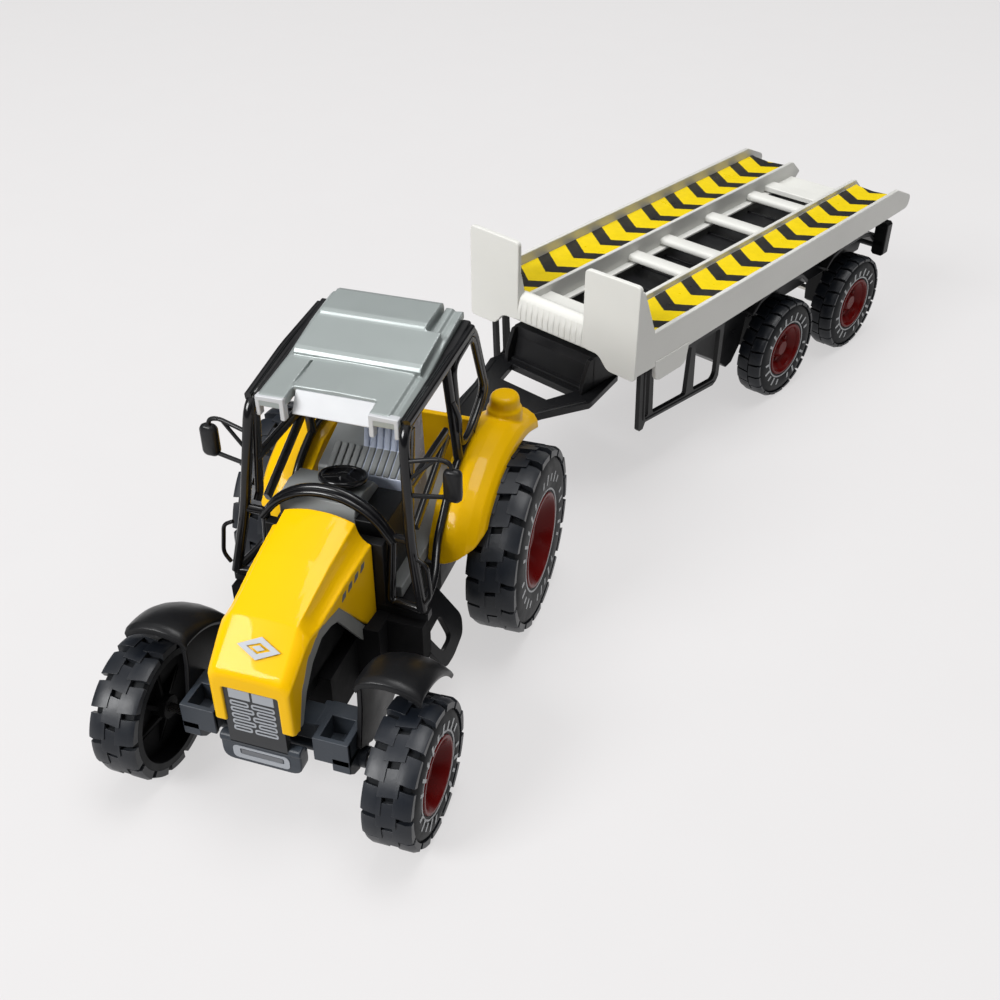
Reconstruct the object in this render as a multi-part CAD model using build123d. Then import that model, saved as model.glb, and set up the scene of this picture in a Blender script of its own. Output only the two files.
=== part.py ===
"""Toy farm tractor with a hitched two-axle ramp trailer.

Millimetres, +Z up. The tractor faces -Y and its left side is +X. Everything is modelled about the
point on the ground below the rear axle, then the whole assembly is shifted so that the origin is the
centre of its base. The trailer is modelled straight, in its own frame, and is swung about the tow peg
at the end.
"""

from build123d import *
import os

# ---- driving dimensions -------------------------------------------------------------------------------
WHEELBASE = 70.8
AXLE_R = 1.0
RUNNING_CLEARANCE = 0.06
GAP = 0.3
SCREW_HEAD_R = 1.6

REAR_WHEEL = {"radius": 23.0, "inner_x": 23.9, "outer_x": 35.8, "rim_r": 11.7, "lugs": 18}
FRONT_WHEEL = {"radius": 15.7, "inner_x": 24.8, "outer_x": 35.4, "rim_r": 8.1, "lugs": 14}
TRAILER_WHEEL = {"radius": 16.0, "inner_x": 22.7, "outer_x": 30.9, "rim_r": 8.2, "lugs": 22}
RIM_DISH_SHARE = 0.42
RIM_FLOOR_SHARE = 0.55
RIM_HUB_R = 2.3
TREAD_WALL = 2.6
TREAD_GROOVE_DEPTH = 0.9
TREAD_GROOVE_WIDTH = 1.3
WHEEL_RIBS = 6
TYRE_SLEEVE_R = 2.6

# tractor
HOOD_TOP = [(-79.4, 40.4), (-70.1, 47.3), (-56.0, 51.7), (-43.6, 54.6)]
HOOD_ARCH = [(-46.0, 27.5), (-58.5, 43.0), (-66.5, 43.7), (-71.5, 40.5), (-74.8, 35.0), (-77.2, 26.4)]
HOOD_LOW = 15.0
HOOD_SKIN = 1.1
HOOD_NOSE_HALF = 8.9
HOOD_REAR_HALF = 11.2
HOOD_CROWN = 1.3
HOOD_SHOULDER = 2.6
LINER_SKIN = 0.8
LINER_DROP = 2.2
GRILLE_HALF = 6.6
GRILLE_TOP = 34.6
GRILLE_BOTTOM = 20.2
NOSE_FACE_Y = -79.4

WEIGHT_HALF = 8.9
WEIGHT_BOTTOM = 14.4
WEIGHT_TOP = 19.6
WEIGHT_FRONT_Y = -78.9
WEIGHT_DEPTH = 3.6

BEAM_HALF = 18.7
BEAM_TOP = 24.5
BEAM_BOTTOM = 18.6
BEAM_FRONT_Y = -76.8
BEAM_BACK_Y = -66.0
BEAM_MIDDLE_HALF = 10.0
BEAM_BOSS_X = 15.6
STEER_PIN_R = 1.2

FENDER_F_GAP = 4.6
FENDER_F_SKIN = 1.0
FENDER_F_OUTER_X = 32.6

CONSOLE_TOP = [(-38.5, 30.6), (-38.5, 48.4), (-33.0, 50.6), (-27.5, 48.6), (-26.5, 30.6)]
CONSOLE_HALF = 12.5
CAB_FLOOR_HALF = 15.2
SEAT_BACK = [(-23.0, 33.0), (-23.0, 50.0), (-17.0, 53.5), (-13.4, 66.0), (-10.4, 66.0), (-8.0, 33.0)]
SEAT_BACK_X = (-1.5, 10.0)
SIDE_PANEL = [(-23.0, 33.0), (-23.0, 50.0), (-10.0, 54.4), (-8.4, 53.4), (-8.0, 33.0)]
SIDE_PANEL_X = (-10.5, -1.5)
STEERING_CENTRE = (0, -31.4, 54.2)
STEERING_TILT = 8
STEERING_RING_R = 4.3

CAB_BAR = 1.7
CAB_A_FOOT = (21.9, -43.6, 33.2)
CAB_A_BELT = (18.9, -41.2, 49.3)
CAB_A_TOP = (17.0, -37.0, 73.6)
CAB_C_TOP = (17.9, 1.4, 77.4)
CAB_C_BEND = (17.8, 10.6, 56.5)
CAB_C_FOOT = (17.6, 0.5, 50.6)
CAB_B_TOP = (17.4, -14.0, 75.7)
CAB_B_FOOT = (18.2, -9.5, 49.5)
CAB_ARCH = [(14.6, -40.2, 48.6), (10.8, -39.8, 53.6), (5.4, -39.5, 56.5), (0.0, -39.4, 57.3)]
CAB_INNER_FOOT = (14.4, -42.6, 33.2)
CAB_DOOR_SILL = [(20.6, -33.0, 33.2), (18.4, -24.8, 37.2), (18.4, -16.2, 45.8)]
CAB_REAR_BAR_END = (17.9, 1.4, 75.7)
MIRROR_CENTRE = (27.3, -37.5, 62.6)
MIRROR_SIZE = (4.0, 2.2, 7.8)
MIRROR_CORNER_R = 1.2
MIRROR_ARM = 0.9
MIRROR_BRACE = 0.8

ROOF_HALF = 15.9
ROOF_FRONT_Y = -36.6
ROOF_REAR_Y = 2.2
ROOF_TOP = [(-36.6, 75.4), (-20.8, 76.9), (-8.9, 79.3), (2.2, 79.4)]
ROOF_THICK = 2.6
ROOF_MID_X = (-14.2, 14.8)
ROOF_REAR_X = (-13.6, 11.3)
ROOF_REAR_TOP = 81.2
ROOF_TAB_X = (9.4, 15.7)
ROOF_TAB_SKIN = 1.2

FENDER_R_INNER_X = 17.0
FENDER_R_OUTER_X = 28.0
FENDER_R_SKIN = 1.2
FENDER_R_PROFILE = [
    (-24.3, 30.5),
    (-22.8, 36.0),
    (-18.0, 42.4),
    (-9.0, 47.2),
    (2.0, 48.9),
    (14.0, 47.4),
    (23.0, 43.6),
]

# hitch and trailer
HITCH_Y = 27.4
PEG_R = 1.6
PEG_CLEARANCE = 0.1
PEG_TOP = 32.0
EYE_R = 4.2
HITCH_PLATE_TOP = 25.6
DRAWBAR_BOTTOM = 26.0
DRAWBAR_TOP = 29.4
REST_YAW = 24.4
HITCH_TO_AXLE = 123.7
AXLE_SPACING = 43.2

DECK_HALF = 30.0
DECK_FRONT_Y = -80.9
DECK_REAR_Y = 66.0
DECK_FLOOR_TOP = 47.0
DECK_SKIN = 1.4
RAIL_TOP = 50.2
RAIL_BOTTOM = 39.6
RAIL_TIP = (72.6, 45.4)
RUNWAY_INNER_X = 11.7
RUNWAY_WALL_TOP = 48.7
HEADBOARD_TOP = 65.6
SILL_BOTTOM = 42.2
SILL_TOP = 50.6
RUNGS_Y = [-27.0, -10.5, 14.0, 39.0]
RUNG_WIDTH = 4.6
STRIP_THICK = 0.2

CHASSIS_T_HALF = 21.8
CHASSIS_T_TOP = 39.4


# ---- helpers ------------------------------------------------------------------------------------------
def block(x0, x1, y0, y1, z0, z1):
    """A box from its low and high faces."""
    centre = ((x0 + x1) / 2, (y0 + y1) / 2, (z0 + z1) / 2)
    return Pos(*centre) * Box(x1 - x0, y1 - y0, z1 - z0)


def side_plate(points, x0, x1):
    """A plate cut to a (y, z) outline, from x0 to x1."""
    outline = make_face(Polyline([Vector(x0, y, z) for y, z in points], close=True))
    return extrude(outline, x1 - x0, dir=(1, 0, 0))


def front_plate(points, y0, y1):
    """A plate cut to an (x, z) outline, from y0 to y1."""
    outline = make_face(Polyline([Vector(x, y0, z) for x, z in points], close=True))
    return extrude(outline, y1 - y0, dir=(0, 1, 0))


def flat_plate(points, z0, z1):
    """A plate cut to an (x, y) outline, from z0 to z1."""
    outline = make_face(Polyline([Vector(x, y, z0) for x, y in points], close=True))
    return extrude(outline, z1 - z0, dir=(0, 0, 1))


def rod_x(radius, x0, x1, y, z):
    """A round rod along X."""
    return Pos((x0 + x1) / 2, y, z) * Rot(Y=90) * Cylinder(radius, x1 - x0)


def rod_z(radius, x, y, z0, z1):
    """A round rod along Z."""
    return Pos(x, y, (z0 + z1) / 2) * Cylinder(radius, z1 - z0)


def bar(start, end, width):
    """A square bar between two points, a half width longer at each end."""
    a = Vector(*start)
    b = Vector(*end)
    along = (b - a).normalized()
    plane = Plane(origin=(a + b) / 2, z_dir=along)
    return plane * Box(width, width, (b - a).length + width)


def bars(points, width):
    """Square bars along a chain of points."""
    return [bar(p, q, width) for p, q in zip(points, points[1:])]


def both_sides(points):
    """The same points on the tractor's right side."""
    return [(-x, y, z) for x, y, z in points]


def mirrored(shape):
    """The same piece on the other side."""
    return mirror(shape, about=Plane.YZ)


def fuse(pieces):
    """One solid from pieces that overlap."""
    return pieces[0].fuse(*pieces[1:])


# ---- wheels -------------------------------------------------------------------------------------------
def wheel_hub_x(wheel):
    """X of the dished rim's floor."""
    return wheel["outer_x"] - RIM_DISH_SHARE * (wheel["outer_x"] - wheel["inner_x"])


def tyre(wheel):
    """Hollow moulded tyre, open towards the middle of the toy, with a ribbed web and lugs."""
    radius = wheel["radius"]
    inner = wheel["inner_x"]
    outer = wheel["outer_x"]
    rim_r = wheel["rim_r"]
    wall_r = radius - TREAD_WALL
    web_x = wheel_hub_x(wheel) - 1.2
    profile = [
        (inner, radius - 0.9),
        (inner + 1.0, radius),
        (outer - 2.0, radius),
        (outer - 0.6, radius - 1.6),
        (outer, radius - 4.0),
        (outer - 0.3, rim_r + 0.6),
        (outer - 0.6, rim_r),
        (outer - 1.8, rim_r),
        (outer - 2.2, wall_r),
        (inner, wall_r),
    ]
    shell = revolve(make_face(Polyline(*profile, close=True)), Axis.X)
    web = rod_x(wall_r + 0.2, web_x - 1.0, web_x, 0, 0)
    sleeve = rod_x(TYRE_SLEEVE_R, inner + 0.8, web_x, 0, 0)
    ribs = []
    for k in range(WHEEL_RIBS):
        rib = block(inner + 2.0, web_x - 0.5, -0.6, 0.6, 2.0, wall_r + 0.2)
        ribs.append(Rot(X=360 / WHEEL_RIBS * k) * rib)
    body = fuse([shell, web, sleeve] + ribs)
    middle = (inner + outer) / 2
    pitch = 360 / wheel["lugs"]
    cuts = [rod_x(AXLE_R, inner - 1, outer, 0, 0)]
    for k in range(wheel["lugs"]):
        low = block(
            inner - 1,
            middle,
            -TREAD_GROOVE_WIDTH / 2,
            TREAD_GROOVE_WIDTH / 2,
            radius - TREAD_GROOVE_DEPTH,
            radius + 1,
        )
        high = block(
            middle - 0.4,
            outer + 1,
            -TREAD_GROOVE_WIDTH / 2,
            TREAD_GROOVE_WIDTH / 2,
            radius - TREAD_GROOVE_DEPTH,
            radius + 1,
        )
        cuts.append(Rot(X=pitch * k) * low)
        cuts.append(Rot(X=pitch * (k + 0.5)) * high)
    return body.cut(*cuts)


def rim(wheel):
    """Dished rim with a closed hub over the end of the axle."""
    outer = wheel["outer_x"]
    rim_r = wheel["rim_r"]
    floor = wheel_hub_x(wheel)
    dish_r = RIM_FLOOR_SHARE * rim_r
    hub_r = RIM_HUB_R
    profile = [
        (outer - 0.3, rim_r),
        (outer - 0.3, rim_r - 0.9),
        (floor, dish_r),
        (floor, hub_r),
        (floor + 2.0, hub_r),
        (floor + 2.0, 0),
        (floor + 1.2, 0),
        (floor + 1.2, AXLE_R),
        (floor - 1.2, AXLE_R),
        (floor - 1.2, dish_r + 0.2),
        (outer - 1.7, rim_r),
    ]
    return revolve(make_face(Polyline(*profile, close=True)), Axis.X)


def axle(wheel):
    """Steel rod that ends inside both rim hubs."""
    end = wheel_hub_x(wheel) + 1.2
    return rod_x(AXLE_R, -end, end, 0, 0)


def wheelset(prefix, wheel, y):
    """Axle, tyres and rims of one axle line, by node name."""
    seat = Pos(0, y, wheel["radius"])
    one_tyre = tyre(wheel)
    one_rim = rim(wheel)
    return {
        prefix + "_axle": seat * axle(wheel),
        prefix + "_tyre_left": seat * one_tyre,
        prefix + "_tyre_right": seat * mirrored(one_tyre),
        prefix + "_rim_left": seat * one_rim,
        prefix + "_rim_right": seat * mirrored(one_rim),
    }


# ---- tractor ------------------------------------------------------------------------------------------
def chassis():
    """Black plastic base: nose, cab floor, axle housing and slanted step loops."""
    nose = block(-6.2, 6.2, -76.3, -44.0, BEAM_TOP + GAP, 33.0)
    spine = block(-9.0, 9.0, -63.2, 12.0, 14.0, 27.0)
    floor = block(-19.0, 19.0, -43.0, -24.8, 24.0, 30.3)
    rear = block(-15.2, 15.2, -25.0, 17.0, 15.0, 30.3)
    sill = block(-23.0, 23.0, -43.3, -41.0, 30.0, 32.0)
    housings = [rod_x(3.6, 15.0, 22.6, 0, 23.0), rod_x(3.6, -22.6, -15.0, 0, 23.0)]
    body = fuse([nose, spine, floor, rear, sill, step_loop(), mirrored(step_loop())] + housings)
    axle_bore = rod_x(AXLE_R + RUNNING_CLEARANCE, -30, 30, 0, 23.0)
    pin_seat = rod_z(STEER_PIN_R, 0, -WHEELBASE, 20, 30)
    return body.cut(axle_bore, pin_seat)


def step_loop():
    """Slanted foot step on the left side, an open loop."""
    outline = Polyline((-1, 0), (-1, 11), (5, 13.5), (11, 13.5), (13, 11), (11, 0), close=True)
    hole = Polyline((2.2, 5.5), (3.6, 10.8), (9.0, 10.8), (9.4, 5.5), close=True)
    plane = Plane(origin=(18.6, -39.0, 27.0), x_dir=(0, 1, 0), z_dir=(-0.87, 0, -0.5))
    plate = extrude(plane * (make_face(outline) - make_face(hole)), 1.4)
    return plate


def tow_hitch():
    """Bracket with the upright tow peg."""
    arm = flat_plate([(-7, 17), (7, 17), (4, HITCH_Y + 3), (-4, HITCH_Y + 3)], 22.0, HITCH_PLATE_TOP)
    peg = rod_z(PEG_R, 0, HITCH_Y, 24.0, PEG_TOP)
    return fuse([arm, peg])


def steering_pivot_screw():
    """Screw that the front axle beam turns on."""
    shank = rod_z(STEER_PIN_R, 0, -WHEELBASE, 18.6, 30.0)
    head = rod_z(2.4, 0, -WHEELBASE, 17.2, 18.6)
    return fuse([shank, head])


def front_axle_beam():
    """Box beam with an open pocket and an axle boss at each end."""
    middle = block(-BEAM_MIDDLE_HALF, BEAM_MIDDLE_HALF, -74.2, -67.4, 20.0, BEAM_TOP)
    pieces = [middle]
    for side in (1, -1):
        end = [
            (side * (BEAM_MIDDLE_HALF - 0.6), 20.3),
            (side * (BEAM_MIDDLE_HALF - 0.6), BEAM_TOP),
            (side * BEAM_HALF, BEAM_TOP),
            (side * BEAM_HALF, 16.9),
            (side * 15.2, 16.9),
            (side * 14.4, BEAM_BOTTOM),
        ]
        pieces.append(front_plate(end, BEAM_FRONT_Y, BEAM_BACK_Y))
        boss = [(-73.2, 20), (-73.2, 15.0), (-71.8, 13.4), (-69.8, 13.4), (-68.4, 15.0), (-68.4, 20)]
        boss_x = sorted((side * BEAM_BOSS_X, side * BEAM_HALF))
        pieces.append(side_plate(boss, *boss_x))
    body = fuse(pieces)
    pockets = [block(12.0, 17.2, -75.4, -70.2, 17.6, 30), block(-17.2, -12.0, -75.4, -70.2, 17.6, 30)]
    axle_bore = rod_x(AXLE_R + RUNNING_CLEARANCE, -30, 30, -WHEELBASE, FRONT_WHEEL["radius"])
    pin_bore = rod_z(STEER_PIN_R + RUNNING_CLEARANCE, 0, -WHEELBASE, 10, 30)
    return body.cut(axle_bore, pin_bore, *pockets)


def front_fender():
    """Left front fender: a curved sheet over the tyre and an upright plate down to the beam."""
    hub = (-WHEELBASE, FRONT_WHEEL["radius"])
    low_r = FRONT_WHEEL["radius"] + FENDER_F_GAP
    high_r = low_r + FENDER_F_SKIN
    solid = rod_x(high_r, BEAM_HALF, FENDER_F_OUTER_X, *hub)
    ring = solid - rod_x(low_r, BEAM_HALF, FENDER_F_OUTER_X, *hub)
    sector = [(-70.4, 60), (-70.4, 28), (-58.6, 28), (-50.6, 22), (-46, 22), (-46, 60)]
    sheet = ring & side_plate(sector, 0, 60)
    plate = [
        (-70.4, 37.0),
        (-70.4, 24.5),
        (-73.0, 20.0),
        (-68.0, 18.0),
        (-62.5, 22.0),
        (-55.0, 29.4),
        (-62.0, 34.9),
    ]
    upright = side_plate(plate, BEAM_HALF, BEAM_HALF + 1.2)
    return fuse([sheet, upright])


def hood_section(y, half, top, bottom, grow):
    """Closed outline of the hood across X at one station, moved outwards by grow."""
    side = half + grow
    shoulder = side - HOOD_SHOULDER
    high = top - HOOD_CROWN + grow
    points = [
        Vector(-side, y, bottom),
        Vector(-side, y, high - HOOD_SHOULDER),
        Vector(-shoulder, y, high),
    ]
    crown = ThreePointArc(points[-1], Vector(0, y, top + grow), Vector(shoulder, y, high))
    right = Polyline(
        Vector(shoulder, y, high),
        Vector(side, y, high - HOOD_SHOULDER),
        Vector(side, y, bottom),
        points[0],
    )
    return make_face(Wire([*Polyline(*points).edges(), crown.edge(), *right.edges()]))


def hood_body(grow, front_y, rear_y):
    """Solid tapered body under the hood's top line."""
    length = HOOD_TOP[-1][0] - HOOD_TOP[0][0]
    stations = []
    for y, z in HOOD_TOP:
        share = (y - HOOD_TOP[0][0]) / length
        half = HOOD_NOSE_HALF + (HOOD_REAR_HALF - HOOD_NOSE_HALF) * share
        stations.append(hood_section(y, half, z, HOOD_LOW, grow))
    body = loft(stations, ruled=True)
    return body & block(-30, 30, front_y, rear_y, 10, 90)


def hood():
    """Yellow cast hood: crowned skin, two nose legs and a wheel-arch notch in each flank."""
    outer = hood_body(0.0, -90, 0)
    inner = hood_body(-HOOD_SKIN, NOSE_FACE_Y + HOOD_SKIN, 0)
    flank_room = [(-40, 15), (-40, 27.5)] + HOOD_ARCH + [(-77.2, 15)]
    notch = side_plate(flank_room, -40, 40)
    front_room = block(-GRILLE_HALF, GRILLE_HALF, -90, -76, 10, GRILLE_TOP)
    under = block(-40, 40, -90, -40, 10, 26.4)
    return outer.cut(inner, notch, front_room, under)


def grille_liner():
    """Dark grey liner inside the hood: grille panel in front and a rim below each flank."""
    outer = hood_body(-HOOD_SKIN, NOSE_FACE_Y + HOOD_SKIN, 0)
    inner = hood_body(-HOOD_SKIN - LINER_SKIN, NOSE_FACE_Y + HOOD_SKIN + LINER_SKIN, 0)
    arch = [(y + 1.0, z - LINER_DROP) for y, z in HOOD_ARCH]
    low_room = side_plate([(-40, 15), (-40, arch[0][1])] + arch[:-1] + [(-75.4, 15)], -40, 40)
    shell = outer.cut(inner, low_room, block(-40, 40, -90, -40, 10, GRILLE_BOTTOM))
    trim_legs = [block(7.2, 30, -76.6, -60, 10, 26.4), block(-30, -7.2, -76.6, -60, 10, 26.4)]
    panel_y = (NOSE_FACE_Y + 0.4, NOSE_FACE_Y + 1.9)
    panel = block(-GRILLE_HALF, GRILLE_HALF, *panel_y, GRILLE_BOTTOM, GRILLE_TOP)
    sides = [block(6.2, 40, -90, -76.9, 10, 26.4), block(-40, -6.2, -90, -76.9, 10, 26.4)]
    return fuse([shell.cut(*trim_legs).cut(*sides), panel])


def front_weight():
    """Weight block below the grille, hung on a plate in front of the axle beam."""
    back = WEIGHT_FRONT_Y + WEIGHT_DEPTH
    outline = [
        (-WEIGHT_HALF, WEIGHT_TOP),
        (-WEIGHT_HALF, WEIGHT_BOTTOM + 2.2),
        (-WEIGHT_HALF + 2.2, WEIGHT_BOTTOM),
        (WEIGHT_HALF - 2.2, WEIGHT_BOTTOM),
        (WEIGHT_HALF, WEIGHT_BOTTOM + 2.2),
        (WEIGHT_HALF, WEIGHT_TOP),
    ]
    slab = front_plate(outline, WEIGHT_FRONT_Y, back)
    neck = block(-6.0, 6.0, -77.3, -76.4, WEIGHT_TOP - 0.5, 30.0)
    return fuse([slab, neck])


def rear_fenders():
    """Yellow casting: both rear fenders with inner walls, joined by the cab's rear wall."""
    outer = [(y, z) for y, z in FENDER_R_PROFILE]
    inner = [(y * 0.985, z - FENDER_R_SKIN * 1.1) for y, z in reversed(FENDER_R_PROFILE)]
    sheet = side_plate(outer + inner, FENDER_R_INNER_X, FENDER_R_OUTER_X)
    wall = side_plate(outer + [(19.0, 28.0), (-21.0, 27.0)], FENDER_R_INNER_X - 1.4, FENDER_R_INNER_X)
    light = Pos(23.2, 11.5, 50.0) * Cylinder(3.2, 5.5)
    corner = [
        (28.6, 38.5),
        (26.0, 34.7),
        (22.9, 32.0),
        (18.9, 30.0),
        (18.9, 20.0),
        (40.0, 20.0),
        (40.0, 38.5),
    ]
    left = fuse([sheet.cut(front_plate(corner, -40, -10)), wall, light])
    rear_wall = block(-16.4, 16.4, 9.0, 10.4, 30.6, 47.8)
    return fuse([left, mirrored(left), rear_wall])


def cab_interior():
    """Silver moulding inside the cab: console, floor, seat back and the low panel beside it."""
    console = side_plate(CONSOLE_TOP, -CONSOLE_HALF, CONSOLE_HALF)
    floor = block(-CAB_FLOOR_HALF, CAB_FLOOR_HALF, -38.5, 8.8, 30.6, 33.6)
    seat = side_plate(SEAT_BACK, *SEAT_BACK_X)
    panel = side_plate(SIDE_PANEL, *SIDE_PANEL_X)
    return fuse([console, floor, seat, panel])


def steering_wheel():
    """Flat steering wheel with three spokes and a short column."""
    ring = Torus(STEERING_RING_R, 0.6)
    hub = Cylinder(1.4, 1.2)
    spokes = []
    for k in range(3):
        spoke = Pos(2.3, 0, 0) * Box(4.4, 1.0, 0.8)
        spokes.append(Rot(Z=120 * k + 90) * spoke)
    column = Pos(0, 0, -2.0) * Cylinder(0.9, 4.0)
    wheel = fuse([ring, hub, column] + spokes)
    return Pos(*STEERING_CENTRE) * Rot(X=STEERING_TILT) * wheel


def cab_frame():
    """Open black cab frame: posts, rails, belt bar with the arch over the hood, and lower side frames."""
    chains = []
    left_chains = [
        [CAB_A_FOOT, CAB_A_BELT, CAB_A_TOP, CAB_C_TOP, CAB_C_BEND, CAB_C_FOOT],
        [CAB_B_TOP, CAB_B_FOOT],
        [CAB_A_BELT, CAB_ARCH[0], CAB_INNER_FOOT, CAB_A_FOOT],
        [CAB_A_FOOT] + CAB_DOOR_SILL + [CAB_B_FOOT, CAB_C_FOOT],
    ]
    for chain in left_chains:
        chains.append(chain)
        chains.append(both_sides(chain))
    chains.append(CAB_ARCH)
    chains.append(both_sides(CAB_ARCH))
    chains.append([CAB_REAR_BAR_END] + both_sides([CAB_REAR_BAR_END]))
    pieces = []
    for chain in chains:
        pieces.extend(bars(chain, CAB_BAR))
    return fuse(pieces)


def mirror_piece():
    """Left wing mirror: head and two arms with a brace."""
    x, y, z = MIRROR_CENTRE
    head = Pos(x, y, z) * Box(*MIRROR_SIZE)
    head = fillet(head.edges().filter_by(Axis.Y), MIRROR_CORNER_R)
    post_x = 17.6
    top_arm = [(post_x + 0.4, -38.3, 67.0), (x - 2.6, y, 68.2), (x - 0.4, y, 67.4), (x - 0.4, y, 64.0)]
    top = bars(top_arm, MIRROR_ARM)
    low = bars([(post_x + 1.1, -39.2, 59.4), (x - 1.4, y, 59.4)], MIRROR_ARM)
    brace = bars([(post_x + 0.8, -38.7, 63.2), (x - 3.4, y, 68.0)], MIRROR_BRACE)
    keep_off = bar(CAB_A_BELT, CAB_A_TOP, CAB_BAR)
    return fuse([head] + top + low + brace).cut(keep_off).solids().sort_by(SortBy.VOLUME)[-1]


def roof():
    """Silver roof: stepped panels, a recessed front visor and two corner lamp tabs."""
    top = ROOF_TOP
    under = [(y, z - ROOF_THICK) for y, z in reversed(top)]
    slab = side_plate(top + under, -ROOF_HALF, ROOF_HALF)
    panel_top = [(-20.8, 76.9), (-20.6, 77.9), (-8.9, 80.2), (-8.9, 79.0)]
    panel = side_plate(panel_top, *ROOF_MID_X)
    rear_top = [
        (-9.0, 79.0),
        (-9.0, ROOF_REAR_TOP - 0.6),
        (-8.2, ROOF_REAR_TOP),
        (0.8, ROOF_REAR_TOP),
        (2.0, ROOF_REAR_TOP - 0.6),
        (2.2, 79.0),
    ]
    rear_panel = side_plate(rear_top, *ROOF_REAR_X)
    tab = block(*ROOF_TAB_X, ROOF_FRONT_Y, ROOF_FRONT_Y + ROOF_TAB_SKIN, 71.0, 75.0)
    visor = side_plate([(-31.4, 75.2), (-34.8, 71.0), (-33.9, 70.6), (-30.0, 74.8)], -8.7, 8.7)
    body = fuse([slab, panel, rear_panel, tab, mirrored(tab)])
    recess = block(-9.2, 9.2, ROOF_FRONT_Y - 1, -31.6, 70, 80)
    lamp = block(10.4, 14.6, -38, ROOF_FRONT_Y + 0.7, 72.0, 74.4)
    return fuse([body.cut(recess, lamp, mirrored(lamp)), visor])


def chassis_screws():
    """Screw heads under the chassis."""
    heads = [rod_z(SCREW_HEAD_R, 0, y, 13.2, 14.0) for y in (-50.0, 8.0)]
    return Compound(children=heads)


# ---- trailer, straight, in its own frame --------------------------------------------------------------
def trailer_deck():
    """Light grey deck: two channel runways, ladder rungs, headboards, front sill and skirt lobes."""
    rail_outline = [
        (DECK_FRONT_Y, RAIL_BOTTOM - 0.8),
        (DECK_FRONT_Y, RAIL_TOP),
        (62.5, RAIL_TOP),
        RAIL_TIP,
        (71.6, 43.0),
        (68.6, 41.4),
        (-56.0, RAIL_BOTTOM),
        (-57.0, 36.0),
        (-59.0, 34.4),
        (-69.5, 34.4),
        (-71.6, 36.0),
        (-72.0, RAIL_BOTTOM),
    ]
    rail = side_plate(rail_outline, DECK_HALF - DECK_SKIN, DECK_HALF)
    inner_outline = [
        (-79.6, 41.6),
        (-79.6, RUNWAY_WALL_TOP),
        (64.5, RUNWAY_WALL_TOP),
        (71.0, 44.0),
        (68.0, 41.6),
    ]
    inner_wall = side_plate(inner_outline, RUNWAY_INNER_X, RUNWAY_INNER_X + DECK_SKIN)
    floor_low = DECK_FLOOR_TOP - DECK_SKIN
    floor = block(RUNWAY_INNER_X, DECK_HALF, DECK_FRONT_Y, DECK_REAR_Y, floor_low, DECK_FLOOR_TOP)
    board_outline = [
        (RUNWAY_INNER_X, HEADBOARD_TOP - 0.6),
        (RUNWAY_INNER_X + 0.8, HEADBOARD_TOP),
        (DECK_HALF - 0.6, HEADBOARD_TOP + 0.4),
        (DECK_HALF, HEADBOARD_TOP - 0.4),
        (DECK_HALF, 40.0),
        (DECK_HALF - 1.6, RAIL_BOTTOM - 0.8),
        (19.0, RAIL_BOTTOM - 0.2),
        (17.2, SILL_BOTTOM),
        (RUNWAY_INNER_X, SILL_BOTTOM),
    ]
    board = front_plate(board_outline, DECK_FRONT_Y, DECK_FRONT_Y + DECK_SKIN)
    gusset_outline = [
        (DECK_FRONT_Y, 45.0),
        (DECK_FRONT_Y, HEADBOARD_TOP - 0.4),
        (DECK_FRONT_Y + 2.0, HEADBOARD_TOP - 0.4),
        (-72.8, RAIL_TOP - 1.0),
        (-72.8, 45.0),
    ]
    gusset = side_plate(gusset_outline, DECK_HALF - DECK_SKIN, DECK_HALF)
    left = fuse([rail, inner_wall, floor, board, gusset])
    sill = block(-12.5, 12.5, DECK_FRONT_Y, DECK_FRONT_Y + DECK_SKIN, SILL_BOTTOM, SILL_TOP)
    ledge = block(-12.5, 12.5, DECK_FRONT_Y, -74.0, 47.4, 48.8)
    step = block(-12.5, 12.5, -74.6, -68.0, 45.0, 46.6)
    step_riser = block(-12.5, 12.5, -75.2, -73.8, 45.0, 48.8)
    rungs = []
    for y in RUNGS_Y:
        half = RUNG_WIDTH / 2
        rungs.append(block(-12.5, 12.5, y - half, y + half, 43.2, 45.0))
    rear_plate = block(-12.5, 12.5, 52.4, 65.5, 42.0, 43.6)
    rear_step = block(-12.5, 12.5, 47.6, 53.4, 43.2, 45.0)
    return fuse([left, mirrored(left), sill, ledge, step, step_riser, rear_plate, rear_step] + rungs)


def hazard_strip():
    """Printed strip on the left runway's floor."""
    low = DECK_FLOOR_TOP
    return block(13.3, 28.4, -79.2, DECK_REAR_Y - 0.3, low, low + STRIP_THICK)


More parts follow.
